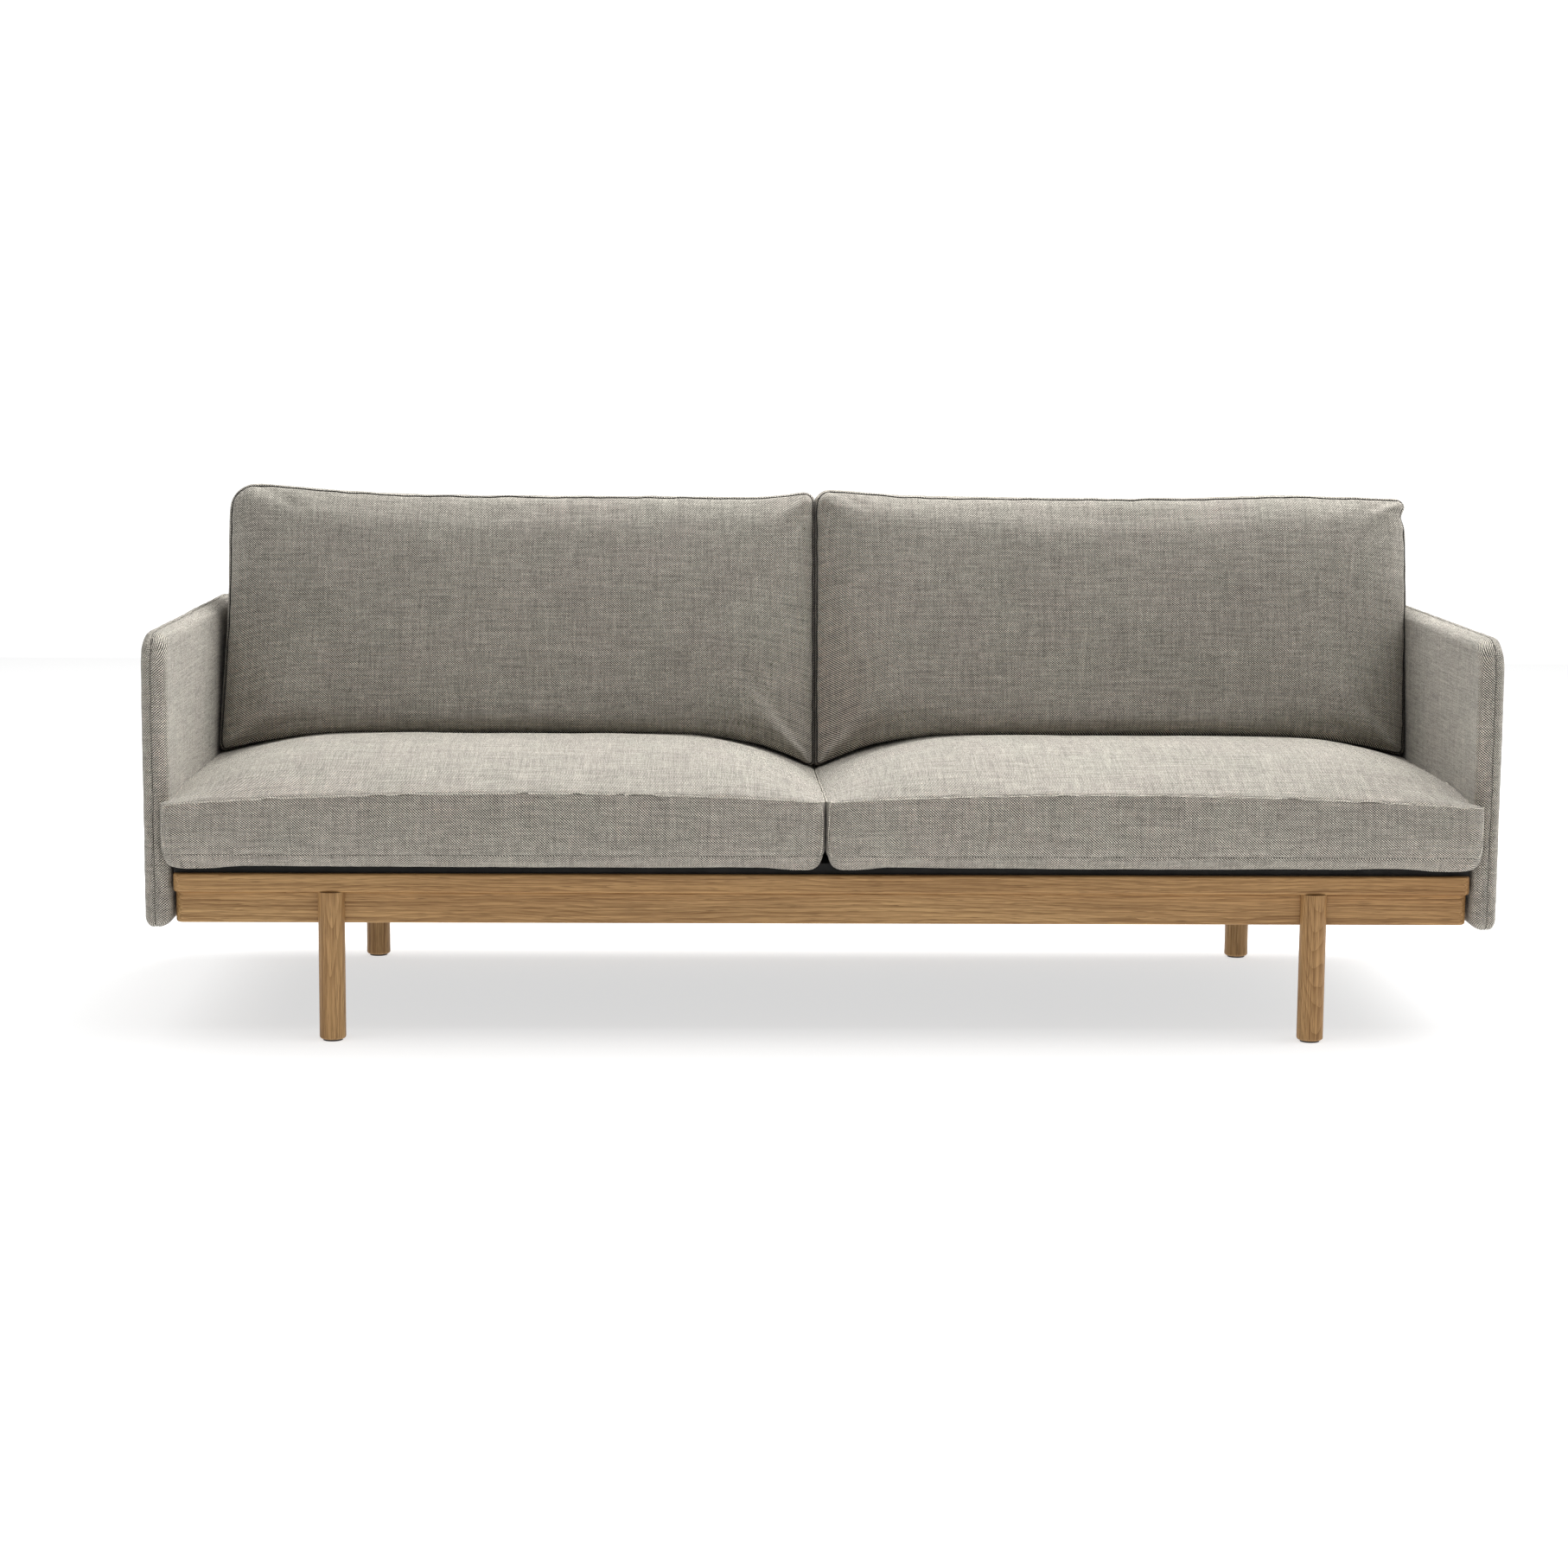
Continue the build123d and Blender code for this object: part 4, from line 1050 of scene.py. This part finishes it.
# ---- CAD nodes that stay
def oak_boards():
    """Grain, seed and, where it shows, heart and taper of every oak node."""
    ends = {"X": ("front", "rear"), "Y": ("left", "right")}
    rails = [(f"{end}_{step}_rail", grain) for grain in ends for step in ("top", "lower")
             for end in ends[grain]]
    boards = {node: (grain, seed) for seed, (node, grain) in enumerate(rails, start=1)}
    boards["front_left_leg"] = ("Z", 9, (-0.83, -0.33), 0.03)
    boards["front_right_leg"] = ("Z", 10, (0.796, -0.372), 0.11)
    boards["rear_left_leg"] = ("Z", 11)
    boards["rear_right_leg"] = ("Z", 12)
    return boards


def dress_frame():
    """Materials of every CAD node that stays in sight."""
    boards = oak_boards()
    by_slot = {
        "beech": plain_wood("beech", (0.55, 0.38, 0.23), (0.42, 0.27, 0.15)),
        "plywood": plain_wood("plywood", (0.58, 0.43, 0.27), (0.38, 0.25, 0.14), 0.0015),
        "foam": soft_filling("foam", (0.78, 0.74, 0.58), 0.0012),
        "fibre": soft_filling("fibre", (0.85, 0.84, 0.80), 0.004),
        "black_cloth": thin_cloth("black_cloth", (0.010, 0.0095, 0.009), 0.0012),
        "webbing": thin_cloth("webbing", (0.02, 0.02, 0.022), 0.002),
        "closure": moulded("closure_nylon", (0.20, 0.185, 0.16), 0.5),
        "glide": moulded("glide_nylon", (0.018, 0.016, 0.014), 0.45),
        "steel": plated_steel("plated_steel"),
    }
    slots = {part["node"]: part["material_slot"] for part in frame["record"]["subparts"]}
    for node, thing in frame["nodes"].items():
        if node in boards:
            dress(thing, oak(f"oak_{node}", *boards[node]))
        elif slots[node] in by_slot:
            dress(thing, by_slot[slots[node]])


# ---- floor, light and camera
FLOOR_HALF_SIZE = (7.0, 6.0)
FLOOR_GREY = 0.52
FLOOR_GLOW = 0.64
WORLD_LIGHT = 0.255
WORLD_SEEN = 1.2  # the world as the camera sees it: white
CAMERA_PLACE = (-0.1966, -5.5288, 1.122)
CAMERA_YAW = 0.0253
CAMERA_PITCH = 0.1356
CAMERA_ROLL = 0.0070
CAMERA_LENS = 73.43  # mm, on a sensor 36 mm wide


def stage_floor():
    """White studio floor, large enough to fill the view in front and seen as white behind."""
    wide, deep = FLOOR_HALF_SIZE
    corners = [(-wide, -deep, 0), (wide, -deep, 0), (wide, deep, 0), (-wide, deep, 0)]
    floor = new_piece("floor", corners, [[0, 1, 2, 3]], smooth=False)
    paper = Shader("pale_floor", 0.9, Specular_IOR_Level=0.0, Emission_Strength=FLOOR_GLOW)
    paper.surface.inputs["Base Color"].default_value = (FLOOR_GREY, FLOOR_GREY, FLOOR_GREY, 1)
    paper.surface.inputs["Emission Color"].default_value = (1, 1, 1, 1)
    dress(floor, paper.material)


def area_light(name, place, size, power):
    """White soft box aimed at the middle of the floor under the sofa."""
    lamp = bpy.data.lights.new(name, "AREA")
    lamp.shape = "RECTANGLE"
    lamp.size, lamp.size_y = size
    lamp.energy = power
    holder = bpy.data.objects.new(name, lamp)
    holder.location = place
    holder.rotation_euler = (-Vector(place)).to_track_quat("-Z", "Y").to_euler()
    scene.collection.objects.link(holder)


def studio():
    """Even white surroundings and three soft boxes."""
    world = bpy.data.worlds.new("studio")
    world.use_nodes = True
    tree = world.node_tree
    pick = tree.nodes.new("ShaderNodeMixShader")
    ray = tree.nodes.new("ShaderNodeLightPath")
    tree.links.new(ray.outputs["Is Camera Ray"], pick.inputs[0])
    shades = tree.nodes["Background"], tree.nodes.new("ShaderNodeBackground")
    for shade, strength, socket in zip(shades, (WORLD_LIGHT, WORLD_SEEN), pick.inputs[1:]):
        shade.inputs[0].default_value = (1, 1, 1, 1)
        shade.inputs[1].default_value = strength
        tree.links.new(shade.outputs[0], socket)
    tree.links.new(pick.outputs[0], tree.nodes["World Output"].inputs[0])
    scene.world = world
    area_light("overhead", (0.0, 0.5, 5.0), (12.0, 8.0), 374)
    area_light("from_the_right", (5.0, 0.5, 4.0), (4.0, 6.0), 189)
    area_light("key", (0.7, 1.6, 3.4), (2.6, 2.0), 132)
    scene.view_settings.view_transform = "Standard"


def camera():
    """Long lens from in front, a little above the arms and turned slightly to the right."""
    yaw, pitch, roll = CAMERA_YAW, CAMERA_PITCH, CAMERA_ROLL
    look = Vector((math.sin(yaw) * math.cos(pitch), math.cos(yaw) * math.cos(pitch), -math.sin(pitch)))
    level = Vector((math.cos(yaw), -math.sin(yaw), 0))
    upright = level.cross(look)
    right = math.cos(roll) * level + math.sin(roll) * upright
    up = -math.sin(roll) * level + math.cos(roll) * upright
    lens = bpy.data.cameras.new("camera")
    lens.sensor_width = 36
    lens.lens = CAMERA_LENS
    lens.clip_end = 200
    holder = bpy.data.objects.new("camera", lens)
    turn = Matrix((right, up, -look)).transposed()
    holder.matrix_world = Matrix.Translation(CAMERA_PLACE) @ turn.to_4x4()
    scene.collection.objects.link(holder)
    scene.camera = holder


camera()
studio()
stage_floor()
dress_frame()
for side, way in SIDES.items():
    slab(f"{side}_arm", arm_low, arm_high, 0, ARM_CORNERS, ARM_SEEDS[side], ARM_SEAM_ASIDE, way)
slab("back_panel", panel_low, panel_high, 1, PANEL_CORNERS, PANEL_SEEDS)
for side in SIDES:
    seat_cushion(side)
    back_cushion(side)
